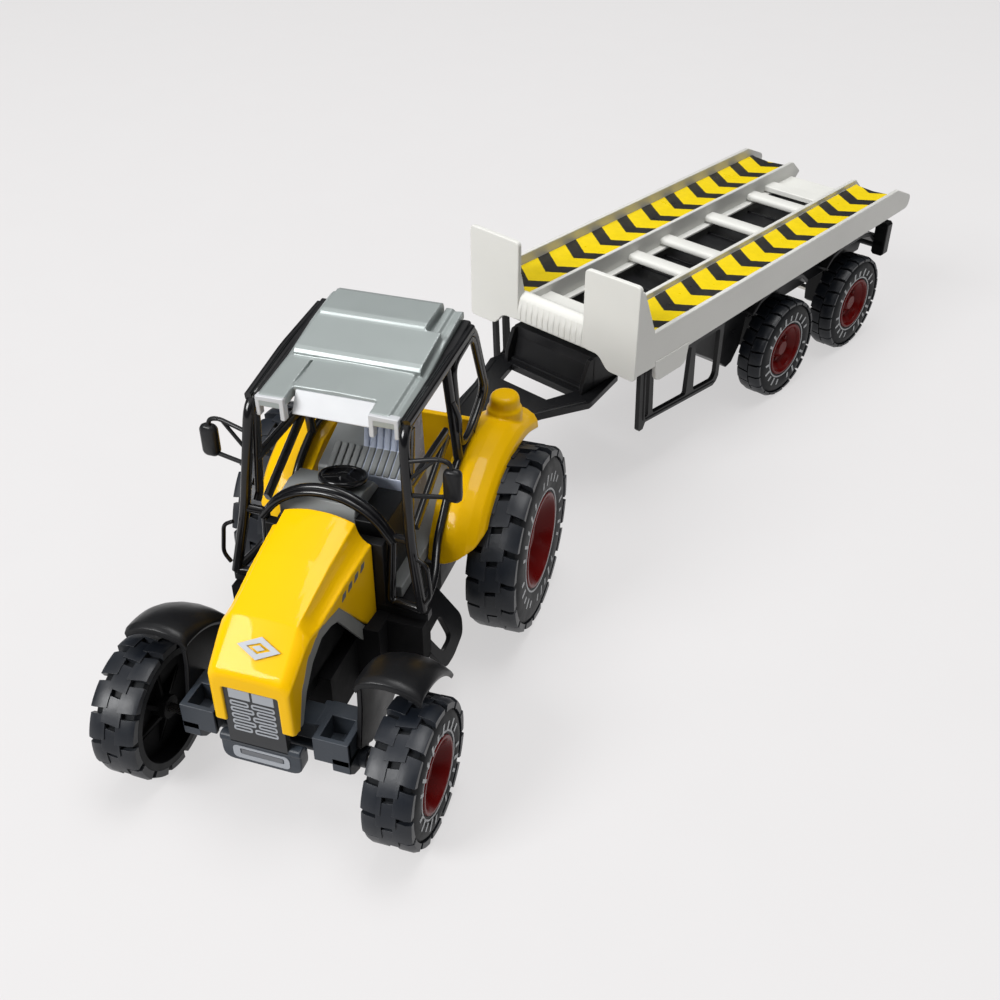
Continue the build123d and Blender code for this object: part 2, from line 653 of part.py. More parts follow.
def trailer_chassis():
    """Black underframe: centre box, wheel covers, axle hangers and rear bumper."""
    spine = block(-10.5, 10.5, -67.6, 62.0, 28.0, CHASSIS_T_TOP)
    shelf = block(-CHASSIS_T_HALF, CHASSIS_T_HALF, -42.0, 60.0, 36.6, CHASSIS_T_TOP)
    cover_outline = [
        (-43.0, 38.0),
        (-41.0, 24.0),
        (-37.0, 16.0),
        (-30.0, 12.0),
        (-22.0, 12.0),
        (-14.0, 20.0),
        (-10.0, 38.0),
    ]
    cover = side_plate(cover_outline, 10.0, CHASSIS_T_HALF)
    arch_outline = [(-11.0, 37.0), (-11.0, 28.0), (58.0, 28.0), (60.0, 34.0), (60.0, 37.0)]
    arch = side_plate(arch_outline, 20.4, CHASSIS_T_HALF)
    hangers = []
    for y in (0.0, AXLE_SPACING):
        outline = [(y - 6, 37.0), (y - 4, 14.0), (y - 2, 12.6), (y + 2, 12.6), (y + 4, 14.0), (y + 6, 37.0)]
        hangers.append(side_plate(outline, 14.0, 20.0))
    left = [cover, arch] + hangers
    right = [mirrored(piece) for piece in left]
    bumper = block(-29.6, 29.6, 60.8, 64.2, 28.6, 33.4)
    bumper_post = block(-10.5, 10.5, 59.0, 62.0, 28.6, 36.0)
    ends = [block(24.8, 29.6, 60.8, 64.2, 26.8, 38.8), block(-29.6, -24.8, 60.8, 64.2, 26.8, 38.8)]
    body = fuse([spine, shelf, bumper, bumper_post] + left + right + ends)
    bores = []
    for y in (0.0, AXLE_SPACING):
        bores.append(rod_x(AXLE_R + RUNNING_CLEARANCE, -30, 30, y, TRAILER_WHEEL["radius"]))
    return body.cut(*bores)


def drawbar():
    """Black drawbar: eye on the tow peg, plate with a trapezoid opening, and the block under the deck."""
    eye_y = -HITCH_TO_AXLE
    outline = [
        (3.2, eye_y + 1.0),
        (12.6, -98.0),
        (19.0, -84.0),
        (15.0, -67.6),
        (-15.0, -67.6),
        (-19.0, -84.0),
        (-12.6, -98.0),
        (-3.2, eye_y + 1.0),
    ]
    plate = flat_plate(outline, DRAWBAR_BOTTOM, DRAWBAR_TOP)
    eye = rod_z(EYE_R, 0, eye_y, DRAWBAR_BOTTOM, DRAWBAR_TOP)
    wall = block(-14.5, 14.5, -80.6, -67.6, DRAWBAR_TOP - 0.5, CHASSIS_T_TOP)
    cheeks = [block(13.3, 14.5, -83.4, -80.0, 28.5, 37.5), block(-14.5, -13.3, -83.4, -80.0, 28.5, 37.5)]
    bore = rod_z(PEG_R + PEG_CLEARANCE, 0, eye_y, 20, 40)
    hole = flat_plate([(10.6, -84.4), (8.2, -90.0), (-8.2, -90.0), (-10.6, -84.4)], 20, 40)
    return fuse([plate, eye, wall] + cheeks).cut(bore, hole)


def side_guard():
    """Left side guard: a frame of posts with a longer pointed front leg."""
    outline = [
        (-74.6, 38.4),
        (-73.6, 18.4),
        (-71.4, 18.4),
        (-70.2, 20.2),
        (-36.6, 17.4),
        (-34.2, 19.6),
        (-34.0, 38.4),
    ]
    plate = side_plate(outline, 26.2, 27.6)
    windows = [
        [(-73.2, 36.4), (-72.4, 22.0), (-69.6, 22.0), (-70.2, 36.4)],
        [(-68.4, 36.4), (-67.4, 21.8), (-51.2, 20.6), (-50.4, 36.4)],
        [(-48.2, 36.4), (-47.4, 20.4), (-36.8, 19.6), (-36.0, 21.0), (-36.0, 36.4)],
    ]
    guard = plate.cut(*[side_plate(window, 20, 40) for window in windows])
    foot = block(21.0, 27.6, -52.0, -47.0, 37.2, 38.4)
    return fuse([guard, foot])


def trailer_screws():
    """Screw heads under the trailer."""
    heads = [rod_z(SCREW_HEAD_R, 0, y, 27.2, 28.0) for y in (-50.0, 21.6, 52.0)]
    return Compound(children=heads)


# ---- assembly -----------------------------------------------------------------------------------------
def tractor_nodes():
    """All tractor pieces by node name."""
    one_front_fender = front_fender()
    one_mirror = mirror_piece()
    nodes = {
        "chassis": chassis(),
        "tow_hitch": tow_hitch(),
        "steering_pivot_screw": steering_pivot_screw(),
        "front_axle_beam": front_axle_beam(),
        "front_fender_left": one_front_fender,
        "front_fender_right": mirrored(one_front_fender),
        "hood": hood(),
        "grille_liner": grille_liner(),
        "front_weight": front_weight(),
        "rear_fenders": rear_fenders(),
        "cab_interior": cab_interior(),
        "steering_wheel": steering_wheel(),
        "cab_frame": cab_frame(),
        "mirror_left": one_mirror,
        "mirror_right": mirrored(one_mirror),
        "roof": roof(),
        "chassis_screws": chassis_screws(),
    }
    nodes.update(wheelset("rear", REAR_WHEEL, 0.0))
    nodes.update(wheelset("front", FRONT_WHEEL, -WHEELBASE))
    return nodes


def trailer_nodes():
    """All trailer pieces by node name, swung about the tow peg."""
    one_guard = side_guard()
    one_strip = hazard_strip()
    nodes = {
        "trailer_deck": trailer_deck(),
        "trailer_chassis": trailer_chassis(),
        "drawbar": drawbar(),
        "side_guard_left": one_guard,
        "side_guard_right": mirrored(one_guard),
        "hazard_strip_left": one_strip,
        "hazard_strip_right": mirrored(one_strip),
        "trailer_screws": trailer_screws(),
    }
    nodes.update(wheelset("trailer_front", TRAILER_WHEEL, 0.0))
    nodes.update(wheelset("trailer_rear", TRAILER_WHEEL, AXLE_SPACING))
    swing = Location((0, HITCH_Y, 0), (0, 0, -REST_YAW)) * Location((0, HITCH_TO_AXLE, 0))
    return {name: swing * shape for name, shape in nodes.items()}


def main():
    """Write one STEP file for each node."""
    nodes = {**tractor_nodes(), **trailer_nodes()}
    boxes = [shape.bounding_box() for shape in nodes.values()]
    low = [min(getattr(b.min, axis) for b in boxes) for axis in "XYZ"]
    high = [max(getattr(b.max, axis) for b in boxes) for axis in "XYZ"]
    shift = Pos(-(low[0] + high[0]) / 2, -(low[1] + high[1]) / 2, -low[2])
    print("size", [round(h - l, 2) for h, l in zip(high, low)])
    print("shift", [round(v, 4) for v in shift.position])
    os.makedirs("parts", exist_ok=True)
    for name, shape in nodes.items():
        export_step(shift * shape, "parts/" + name + ".step")


main()
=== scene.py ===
"""Looks of the toy tractor with its ramp trailer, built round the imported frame."""
import bpy
import bmesh
from math import cos, pi, radians, sin, sqrt, tau
from mathutils import Matrix, Vector, geometry


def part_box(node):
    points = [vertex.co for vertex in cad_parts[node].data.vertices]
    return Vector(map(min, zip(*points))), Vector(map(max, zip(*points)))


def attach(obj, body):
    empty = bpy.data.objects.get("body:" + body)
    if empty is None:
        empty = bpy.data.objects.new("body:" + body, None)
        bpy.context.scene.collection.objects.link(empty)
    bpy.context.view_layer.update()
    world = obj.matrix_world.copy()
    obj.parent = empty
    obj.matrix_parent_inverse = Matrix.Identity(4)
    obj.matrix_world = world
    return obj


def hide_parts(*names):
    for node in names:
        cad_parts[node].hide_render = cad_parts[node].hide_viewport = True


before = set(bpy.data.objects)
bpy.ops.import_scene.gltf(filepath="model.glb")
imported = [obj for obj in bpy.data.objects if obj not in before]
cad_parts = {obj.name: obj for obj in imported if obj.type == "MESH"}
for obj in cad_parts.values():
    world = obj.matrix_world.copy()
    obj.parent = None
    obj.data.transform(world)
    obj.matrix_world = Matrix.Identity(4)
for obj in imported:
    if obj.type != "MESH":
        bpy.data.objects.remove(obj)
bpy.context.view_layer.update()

# ---- shared frame: millimetres about the rear axle, as in the CAD
MM = 0.001
LEFT, RIGHT = 1, -1
SIDES = (LEFT, RIGHT)
FRONT_AXLE_Y, FRONT_AXLE_Z = -70.8, 15.7
HITCH_Y = 27.4
HITCH_TO_AXLE = 123.7
SWING_AT_REST = -24.4
pivot_low, pivot_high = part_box("steering_pivot_screw")
ORIGIN = (pivot_low + pivot_high) / 2 - Vector((0, FRONT_AXLE_Y * MM, 0))
ORIGIN.z = 0
TRACTOR = Matrix.Translation(ORIGIN)
TRAILER = (
    TRACTOR
    @ Matrix.Translation((0, HITCH_Y * MM, 0))
    @ Matrix.Rotation(radians(SWING_AT_REST), 4, "Z")
    @ Matrix.Translation((0, HITCH_TO_AXLE * MM, 0))
)
scene = bpy.context.scene


def hand(side):
    return "left" if side == LEFT else "right"


# ---- materials
def assign(thing, **values):
    for key, value in values.items():
        setattr(thing, key, value)
    return thing


class Nodes:
    """Short calls to build a node tree; an input takes a value or another node's output."""

    def __init__(self, name):
        self.mat = bpy.data.materials.new(name)
        self.mat.use_nodes = True
        self.tree = self.mat.node_tree
        self.bsdf = self.tree.nodes["Principled BSDF"]
        self.coord = self.new("ShaderNodeTexCoord", {}).outputs["Object"]

    def new(self, kind, inputs, **settings):
        node = assign(self.tree.nodes.new(kind), **settings)
        self.fill(node, inputs)
        return node

    def fill(self, node, inputs):
        for key, value in inputs.items():
            if isinstance(value, bpy.types.NodeSocket):
                self.tree.links.new(value, node.inputs[key])
            else:
                node.inputs[key].default_value = value

    def noise(self, scale, detail=3, rough=0.55):
        inputs = {"Scale": scale, "Detail": detail, "Roughness": rough, "Vector": self.coord}
        return self.new("ShaderNodeTexNoise", inputs).outputs["Fac"]

    def math(self, operation, *values):
        return self.new("ShaderNodeMath", dict(enumerate(values)), operation=operation).outputs[0]

    def spread(self, value, low, high, start=0.3, end=0.7):
        inputs = {"From Min": start, "From Max": end, "To Min": low, "To Max": high, "Value": value}
        return self.new("ShaderNodeMapRange", inputs).outputs["Result"]

    def mix(self, factor, a, b):
        a, b = [(*end, 1) if isinstance(end, tuple) else end for end in (a, b)]
        return self.new("ShaderNodeMix", {"Factor": factor, "A": a, "B": b},
            data_type="RGBA").outputs["Result"]

    def bump(self, height, strength, distance, under=None):
        inputs = {"Strength": strength, "Distance": distance, "Height": height}
        if under:
            inputs["Normal"] = under
        return self.new("ShaderNodeBump", inputs).outputs["Normal"]


def shade(colour, by):
    return tuple(min(1, c * by) for c in colour)


def surface(name, colour, rough, spread=0.06, tint=0.08, grain=2200, grain_bump=0.3, wave=120, wave_bump=0,
            metallic=0, coat=0, edge=0, specular=0.5):
    """Moulded or painted surface: broad colour drift, fine grain, slow waviness and lightened edges, partly
    rubbed wear and partly a painted highlight.
    """
    n = Nodes(name)
    drift = n.noise(26, 3)
    fine = n.noise(grain, 2)
    smear = n.noise(140, 4, 0.65)
    base = n.mix(n.spread(drift, 0, 1), shade(colour, 1 - tint), shade(colour, 1 + tint))
    # Sharp convex edges (Pointiness) get a lighter colour: partly rubbed wear, partly a painted highlight
    # where light catches the edge.
    if edge:
        point = n.new("ShaderNodeNewGeometry", {}).outputs["Pointiness"]
        edge_wear_and_highlight = n.math("MULTIPLY", n.spread(point, 0, edge, 0.52, 0.62), n.spread(smear, 0.2, 1))
        base = n.mix(edge_wear_and_highlight, base, tuple(0.55 * c + 0.3 for c in colour))
    gloss = n.spread(smear, rough - spread, rough + spread)
    normal = n.bump(fine, grain_bump, 0.00003)
    if wave_bump:
        normal = n.bump(n.noise(wave, 1.5), wave_bump, 0.0004, normal)
    n.fill(n.bsdf, {"Base Color": base, "Roughness": gloss, "Normal": normal})
    n.fill(n.bsdf, {"Metallic": metallic, "Specular IOR Level": specular})
    if coat:
        n.fill(n.bsdf, {"Coat Weight": coat, "Coat Roughness": 0.04})
    return n.mat


def hazard(name, centre_x, start, period=12.95, slope=0.71, share=0.6, soft=0.008):
    """Printed chevrons on glossy film, in the trailer's own frame; share is the yellow part of a period."""
    n = Nodes(name)
    split = n.new("ShaderNodeSeparateXYZ", {0: n.coord})
    wobble = n.math("MULTIPLY", n.math("SUBTRACT", n.noise(900, 2), 0.5), 0.00035)
    across = n.math("ABSOLUTE", n.math("SUBTRACT", split.outputs["X"], centre_x * MM))
    along = n.math("ADD", n.math("SUBTRACT", split.outputs["Y"], n.math("MULTIPLY", across, slope)), wobble)
    turn = n.math("FRACT", n.math("DIVIDE", n.math("ADD", along, (20 * period - start) * MM), period * MM))
    middle = n.math("ABSOLUTE", n.math("SUBTRACT", turn, share / 2))
    stripe = n.spread(middle, 1, 0, share / 2 - soft, share / 2 + soft)
    speck = n.spread(n.noise(420, 5, 0.7), 0, 1, 0.25, 0.75)
    yellow = n.mix(speck, (0.62, 0.46, 0.004), (0.72, 0.54, 0.006))
    black = n.mix(speck, (0.012, 0.012, 0.012), (0.028, 0.027, 0.025))
    gloss = n.spread(n.noise(160, 4), 0.26, 0.4)
    normal = n.bump(n.noise(2200, 2), 0.12, 0.00003)
    n.fill(n.bsdf, {"Base Color": n.mix(stripe, black, yellow), "Roughness": gloss, "Normal": normal})
    n.fill(n.bsdf, {"Specular IOR Level": 0.25})
    return n.mat


YELLOW = surface("yellow_cast_paint", (0.70, 0.398, 0.0012), 0.34, spread=0.05, tint=0.03, grain=2600,
    grain_bump=0.05, wave_bump=0.06, coat=0.19, specular=0.05)
BLACK = surface("black_satin_plastic", (0.006, 0.0062, 0.007), 0.34, spread=0.07, tint=0.15, edge=0.04,
    specular=0.2)
GLOSS = surface("black_gloss_plastic", (0.004, 0.004, 0.0048), 0.18, spread=0.05, tint=0.15, grain=1500,
    grain_bump=0.1, wave=200, wave_bump=0.1, edge=0.03, specular=0.38)
LINER = surface("dark_grey_plastic", (0.165, 0.168, 0.16), 0.42, edge=0.1, specular=0.3)
PANEL = surface("grille_dark_plastic", (0.022, 0.023, 0.025), 0.42, tint=0.1, specular=0.3)
PRINT = surface("light_grey_print", (0.27, 0.285, 0.31), 0.4, grain=1400)
FAINT = surface("dark_grey_print", (0.10, 0.105, 0.115), 0.4, grain=1400)
TYRE = surface("tyre_moulded_black", (0.006, 0.008, 0.012), 0.38, spread=0.07, tint=0.2, grain=1700,
    grain_bump=0.35, wave=260, wave_bump=0.1, edge=0.14, specular=0.3)
WALL = surface("tyre_side_black", (0.005, 0.006, 0.0075), 0.5, spread=0.08, tint=0.2, grain=1700,
    grain_bump=0.35, wave=260, wave_bump=0.1, specular=0.13)
# Darker, duller copy of the black: painted shade inside the tyres and on the chassis boxes under the hood and
# belly.
SHADED_BLACK = surface("black_with_painted_shade", (0.003, 0.003, 0.0035), 0.7, spread=0.08, tint=0.2, grain=1700,
    specular=0.1)
MARK = surface("tyre_grey_print", (0.34, 0.35, 0.36), 0.5, tint=0.2, grain=1700, grain_bump=0.4)
RED = surface("red_rim_plastic", (0.11, 0.003, 0.0025), 0.3, grain=1600, grain_bump=0.2, wave=200,
    wave_bump=0.08, edge=0.05, specular=0.12)
STEEL = surface("axle_steel", (0.62, 0.6, 0.56), 0.3, spread=0.08, grain=1600, metallic=1)
SILVER = surface("roof_silver_paint", (0.28, 0.31, 0.305), 0.38, spread=0.05, tint=0.04, grain=3200,
    grain_bump=0.35, wave_bump=0.08, metallic=0.35, edge=0.2)
# Lighter copy of the roof silver: partly the visor's own paler tone, partly a painted highlight on the
# front-facing visor, tabs and lamp strips.
PALE_SILVER_AND_HIGHLIGHT = surface("visor_pale_silver_and_painted_highlight", (0.425, 0.435, 0.45), 0.4, spread=0.05, tint=0.03, grain=3200,
    grain_bump=0.12)
INSERT = surface("seat_silver_plastic", (0.48, 0.53, 0.65), 0.26, tint=0.05, grain=2600, wave=160,
    wave_bump=0.15)
DASH = surface("console_grey_plastic", (0.21, 0.22, 0.22), 0.34, tint=0.06, grain=2600, wave=160,
    wave_bump=0.15, edge=0.2)
GREY = surface("deck_grey_paint", (0.60, 0.60, 0.57), 0.38, tint=0.04, grain=2600, grain_bump=0.22, wave=110,
    wave_bump=0.08, edge=0.08, specular=0.25)
SLATE = surface("slate_plastic", (0.022, 0.028, 0.037), 0.4, tint=0.1, edge=0.06, specular=0.3)
STRIPS = {LEFT: hazard("hazard_left", 20.5, 1.4), RIGHT: hazard("hazard_right", -20.1, -2.1)}


# ---- mesh building
def fillet(points, radius, steps=5, closed=False):
    """A polyline with its corners rounded."""
    pts = [Vector(p) for p in points]
    count = len(pts)
    out = []
    for i, p in enumerate(pts):
        if not closed and i in (0, count - 1):
            out.append(p)
            continue
        a, b = pts[i - 1] - p, pts[(i + 1) % count] - p
        reach = min(radius, 0.48 * a.length, 0.48 * b.length)
        start, end = p + a.normalized() * reach, p + b.normalized() * reach
        for k in range(steps + 1):
            t = k / steps
            out.append(start * (1 - t) ** 2 + p * 2 * t * (1 - t) + end * t * t)
    return out


def rounded(points, radius, steps=4, closed=True):
    """An outline of (u, v) points with its corners rounded."""
    return [(p.x, p.y) for p in fillet([(u, v, 0) for u, v in points], radius, steps, closed)]


def circle(radius, steps, u=0, v=0):
    """Circle about (u, v) as (u, v) points."""
    turns = [tau * k / steps for k in range(steps)]
    return [(u + radius * cos(a), v + radius * sin(a)) for a in turns]


def ring_points(width, height, radius, steps=3, u=0, v=0):
    """Rounded rectangle about (u, v) as (u, v) points."""
    w, h = width / 2 - radius, height / 2 - radius
    out = []
    for k, (cx, cy) in enumerate(((w, h), (-w, h), (-w, -h), (w, -h))):
        for s in range(steps + 1):
            a = pi / 2 * (k + s / steps)
            out.append((u + (cx + radius * cos(a)), v + (cy + radius * sin(a))))
    return out


class Build:
    """Collects closed shapes, in millimetres, into one mesh."""

    def __init__(self):
        self.verts = []
        self.faces = []
        self.mats = []
        self.pierced = False

    def add(self, verts, faces, mat=0):
        base = len(self.verts)
        self.verts += [Vector(v) for v in verts]
        self.faces += [[i + base for i in f] for f in faces]
        self.mats += [mat] * len(faces)
        return self

    def box(self, x0, x1, y0, y1, z0, z1, mat=0):
        x0, x1 = sorted((x0, x1))
        v = [(x, y, z) for x in (x0, x1) for y in (y0, y1) for z in (z0, z1)]
        f = [(0, 1, 3, 2), (4, 6, 7, 5), (0, 4, 5, 1), (2, 3, 7, 6), (0, 2, 6, 4), (1, 5, 7, 3)]
        return self.add(v, f, mat)

    def plate(self, axis, low, high, outline, holes=(), mat=0):
        """Plate across X, Y or Z: its outline and holes are in the other two axes, in order."""
        at = "XYZ".index(axis)
        low, high = sorted((low, high))
        loops = [list(outline)] + [list(h) for h in holes]
        self.pierced = self.pierced or bool(holes)
        flat = [p for loop in loops for p in loop]
        tris = geometry.tessellate_polygon([[Vector((p[0], p[1], 0)) for p in loop] for loop in loops])
        count = len(flat)
        verts = [(*p[:at], t, *p[at:]) for t in (low, high) for p in flat]
        faces = [list(t) for t in tris] + [[i + count for i in t] for t in tris]
        base = 0
        for loop in loops:
            size = len(loop)
            for i in range(size):
                j = (i + 1) % size
                faces.append([base + i, base + j, base + j + count, base + i + count])
            base += size
        return self.add(verts, faces, mat)

    def loft(self, rings, mat=0, closed=False):
        """Skin over rings of equal length, with both ends closed unless it runs round."""
        size = len(rings[0])
        verts = [p for ring in rings for p in ring]
        faces = []
        spans = len(rings) if closed else len(rings) - 1
        for r in range(spans):
            s = (r + 1) % len(rings)
            for i in range(size):
                j = (i + 1) % size
                faces.append([r * size + i, r * size + j, s * size + j, s * size + i])
        if not closed:
            faces.append(list(range(size)))
            faces.append([(len(rings) - 1) * size + i for i in reversed(range(size))])
        return self.add(verts, faces, mat)

    def sweep(self, path, ring, side=(1, 0, 0), closed=False, mat=0):
        """A ring of (u, v) points drawn along a path; u follows the side direction."""
        pts = [Vector(p) for p in path]
        count = len(pts)
        rings = []
        for i, p in enumerate(pts):
            before = pts[i - 1] if (i or closed) else p
            after = pts[(i + 1) % count] if (i < count - 1 or closed) else p
            along = (after - before).normalized()
            u = Vector(side) - along * along.dot(Vector(side))
            u = u.normalized() if u.length > 1e-4 else along.orthogonal().normalized()
            v = along.cross(u)
            rings.append([p + u * a + v * b for a, b in ring])
        return self.loft(rings, mat, closed)

    def tube(self, points, width, height=None, round_to=0.42, corner=2, side=(1, 0, 0), closed=False,
             mat=0, steps=3):
        """Round-cornered bar along a line whose corners are rounded too."""
        height = height or width
        ring = ring_points(width, height, min(width, height) * round_to, steps)
        return self.sweep(fillet(points, corner, closed=closed), ring, side, closed, mat)

    def lathe(self, profile, y, z, steps=96, mat=0):
        """Profile of (x, radius) turned about X through (y, z)."""
        rings = []
        for k in range(steps):
            a = 2 * pi * k / steps
            rings.append([(x, y + r * cos(a), z + r * sin(a)) for x, r in profile])
        return self.loft(rings, mat, closed=True)

    def turned(self, levels, steps, y=0, closed=False):
        """Levels of (radius, z) turned about an upright line at y."""
        return self.loft([[(u, v, z) for u, v in circle(r, steps, 0, y)] for r, z in levels], closed=closed)

    def mirror(self):
        """Adds the same shapes on the other side."""
        base = len(self.verts)
        self.verts += [Vector((-v.x, v.y, v.z)) for v in self.verts]
        self.faces += [[i + base for i in reversed(f)] for f in self.faces]
        self.mats += self.mats
        return self

    def on(self, side):
        """These left-hand shapes, or their mirror image for the right."""
        if side == LEFT:
            return self
        other = Build()
        other.verts = [Vector((-v.x, v.y, v.z)) for v in self.verts]
        other.faces = [list(reversed(f)) for f in self.faces]
        other.mats = self.mats
        other.pierced = self.pierced
        return other

    def mesh(self, name):
        data = bpy.data.meshes.new(name)
        data.from_pydata([v * MM for v in self.verts], [], self.faces)
        for polygon, mat in zip(data.polygons, self.mats):
            polygon.material_index = mat
        bm = bmesh.new()
        bm.from_mesh(data)
        bmesh.ops.recalc_face_normals(bm, faces=bm.faces)
        if not self.pierced:
            bmesh.ops.dissolve_limit(bm, angle_limit=0.002, verts=bm.verts, edges=bm.edges,
                delimit={"MATERIAL"})
        bm.to_mesh(data)
        bm.free()
        return data


def modify(obj, kind, **values):
    assign(obj.modifiers.new(kind.lower(), kind), **values)


def settle(obj):
    """Applies an object's modifiers."""
    done = bpy.data.meshes.new_from_object(obj.evaluated_get(bpy.context.evaluated_depsgraph_get()))
    obj.modifiers.clear()
    old = obj.data
    obj.data = done
    bpy.data.meshes.remove(old)


def new_object(name, data):
    obj = bpy.data.objects.new(name, data)
    scene.collection.objects.link(obj)
    return obj


def finish_piece(obj, body, mats, nodes):
    """Gives a mesh its materials and place, hangs it on its body's empty and hides the CAD nodes it stands
    for.
    """
    if not obj.data.materials:
        for mat in mats:
            obj.data.materials.append(mat)
    obj.matrix_world = TRAILER if body.startswith("trailer") else TRACTOR
    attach(obj, body)
    if nodes:
        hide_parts(*nodes)


def piece(name, build, body, mats, slot, nodes=(), bevel=0.22, angle=32, segments=2):
    """A crisp moulded piece with rounded edges; angle is where an edge counts as sharp."""
    obj = new_object(name, build.mesh(name))
    for mat in mats:
        obj.data.materials.append(mat)
    for polygon in obj.data.polygons:
        polygon.use_smooth = True
    if bevel:
        modify(obj, "BEVEL", width=bevel * MM, segments=segments, limit_method="ANGLE",
               angle_limit=radians(angle), use_clamp_overlap=True, harden_normals=True)
        settle(obj)
    else:
        obj.data.set_sharp_from_angle(angle=radians(angle))
    finish_piece(obj, body, mats, nodes)


def part(node, build, body, mats, slot, **edges):
    """The look of one CAD node."""
    piece(node + "_look", build, body, mats, slot, [node], **edges)


def cast(name, solid, mat, cuts, nodes=(), voxel=0.25, smooth=5):
    """A cast tractor piece: solids joined and cut, then every edge softened as in a mould."""
    obj = new_object(name, solid.mesh(name))
    helpers = []
    for cut in cuts:
        tool = new_object(name + "_cut", cut.mesh("cut"))
        helpers.append(tool)
        modify(obj, "BOOLEAN", operation="DIFFERENCE", solver="EXACT", use_self=True, object=tool)
    settle(obj)
    modify(obj, "REMESH", mode="VOXEL", voxel_size=voxel * MM, use_smooth_shade=True)
    modify(obj, "SMOOTH", factor=0.5, iterations=smooth)
    settle(obj)
    for tool in helpers:
        bpy.data.objects.remove(tool)
    for polygon in obj.data.polygons:
        polygon.use_smooth = True
        polygon.material_index = 0
    finish_piece(obj, "tractor", [mat], nodes)


def blend_line(points, t):
    """Value of a piecewise-linear line of (t, value) points."""
    for (t0, a), (t1, b) in zip(points, points[1:]):
        if t <= t1:
            share = 0 if t1 == t0 else (t - t0) / (t1 - t0)
            return a + (b - a) * max(0, share)
    return points[-1][1]


def slab(build, origin, u, v, thick, outline, holes=(), mat=0):
    """Plate in any plane: outline points go along u and v from the origin, and thick across both."""
    flat = Build().plate("Z", 0, thick, outline, holes)
    build.pierced = build.pierced or flat.pierced
    u, v = Vector(u).normalized(), Vector(v).normalized()
    w = u.cross(v)
    return build.add([Vector(origin) + u * p.x + v * p.y + w * p.z for p in flat.verts], flat.faces, mat)


# ---- wheels
TRAILER_WHEEL = dict(radius=16, inner=22.7, outer=30.9, rim=8.2, lugs=22,
    rows=((22.7, 26.6, 0), (26.9, 30.7, 0.5)), height=0.6, gap=0.16, marks=22)
WHEELS = {
    "rear": dict(
        y=0, radius=23, inner=23.9, outer=35.8, rim=11.7,
        lugs=18, rows=((23.9, 28.6, 0), (27.2, 32.4, 0.5), (31.2, 35.6, 0)), height=1.5, gap=0.2, marks=30,
    ),
    "front": dict(
        y=FRONT_AXLE_Y, radius=FRONT_AXLE_Z, inner=24.8, outer=35.4, rim=8.1,
        lugs=14, rows=((24.8, 29, 0), (28, 32.2, 0.5), (31.4, 35.2, 0)), height=1.3, gap=0.2, marks=22,
    ),
    "trailer_front": dict(TRAILER_WHEEL, y=0),
    "trailer_rear": dict(TRAILER_WHEEL, y=43.2),
}


def dish(w):
    """How far out from the middle the floor of a rim lies."""
    return w["outer"] - 0.42 * (w["outer"] - w["inner"])


def lug(build, w, x0, x1, start, turn, slant, parts=4):
    """One tread block, higher at its leading edge, wrapped round the tyre."""
    y, top, height = w["y"], w["radius"], w["height"]
    rings = []
    for k in range(parts + 1):
        a = start + turn * k / parts
        crest = top - 0.32 * height * (k / parts)
        shoulder = crest - 0.5 if x1 > w["outer"] - 1.5 else crest
        heel = crest - 0.35 if x0 < w["inner"] + 1 else crest
        base = top - height - 0.8
        ring = [(x0, base), (x0, heel), (x0 + 0.9, crest), (x1 - 1.1, crest), (x1, shoulder), (x1, base)]
        turned = [(x, r, a + slant * (x - x0)) for x, r in ring]
        rings.append([(x, y + r * sin(t), top + r * cos(t)) for x, r, t in turned])
    build.loft(rings)


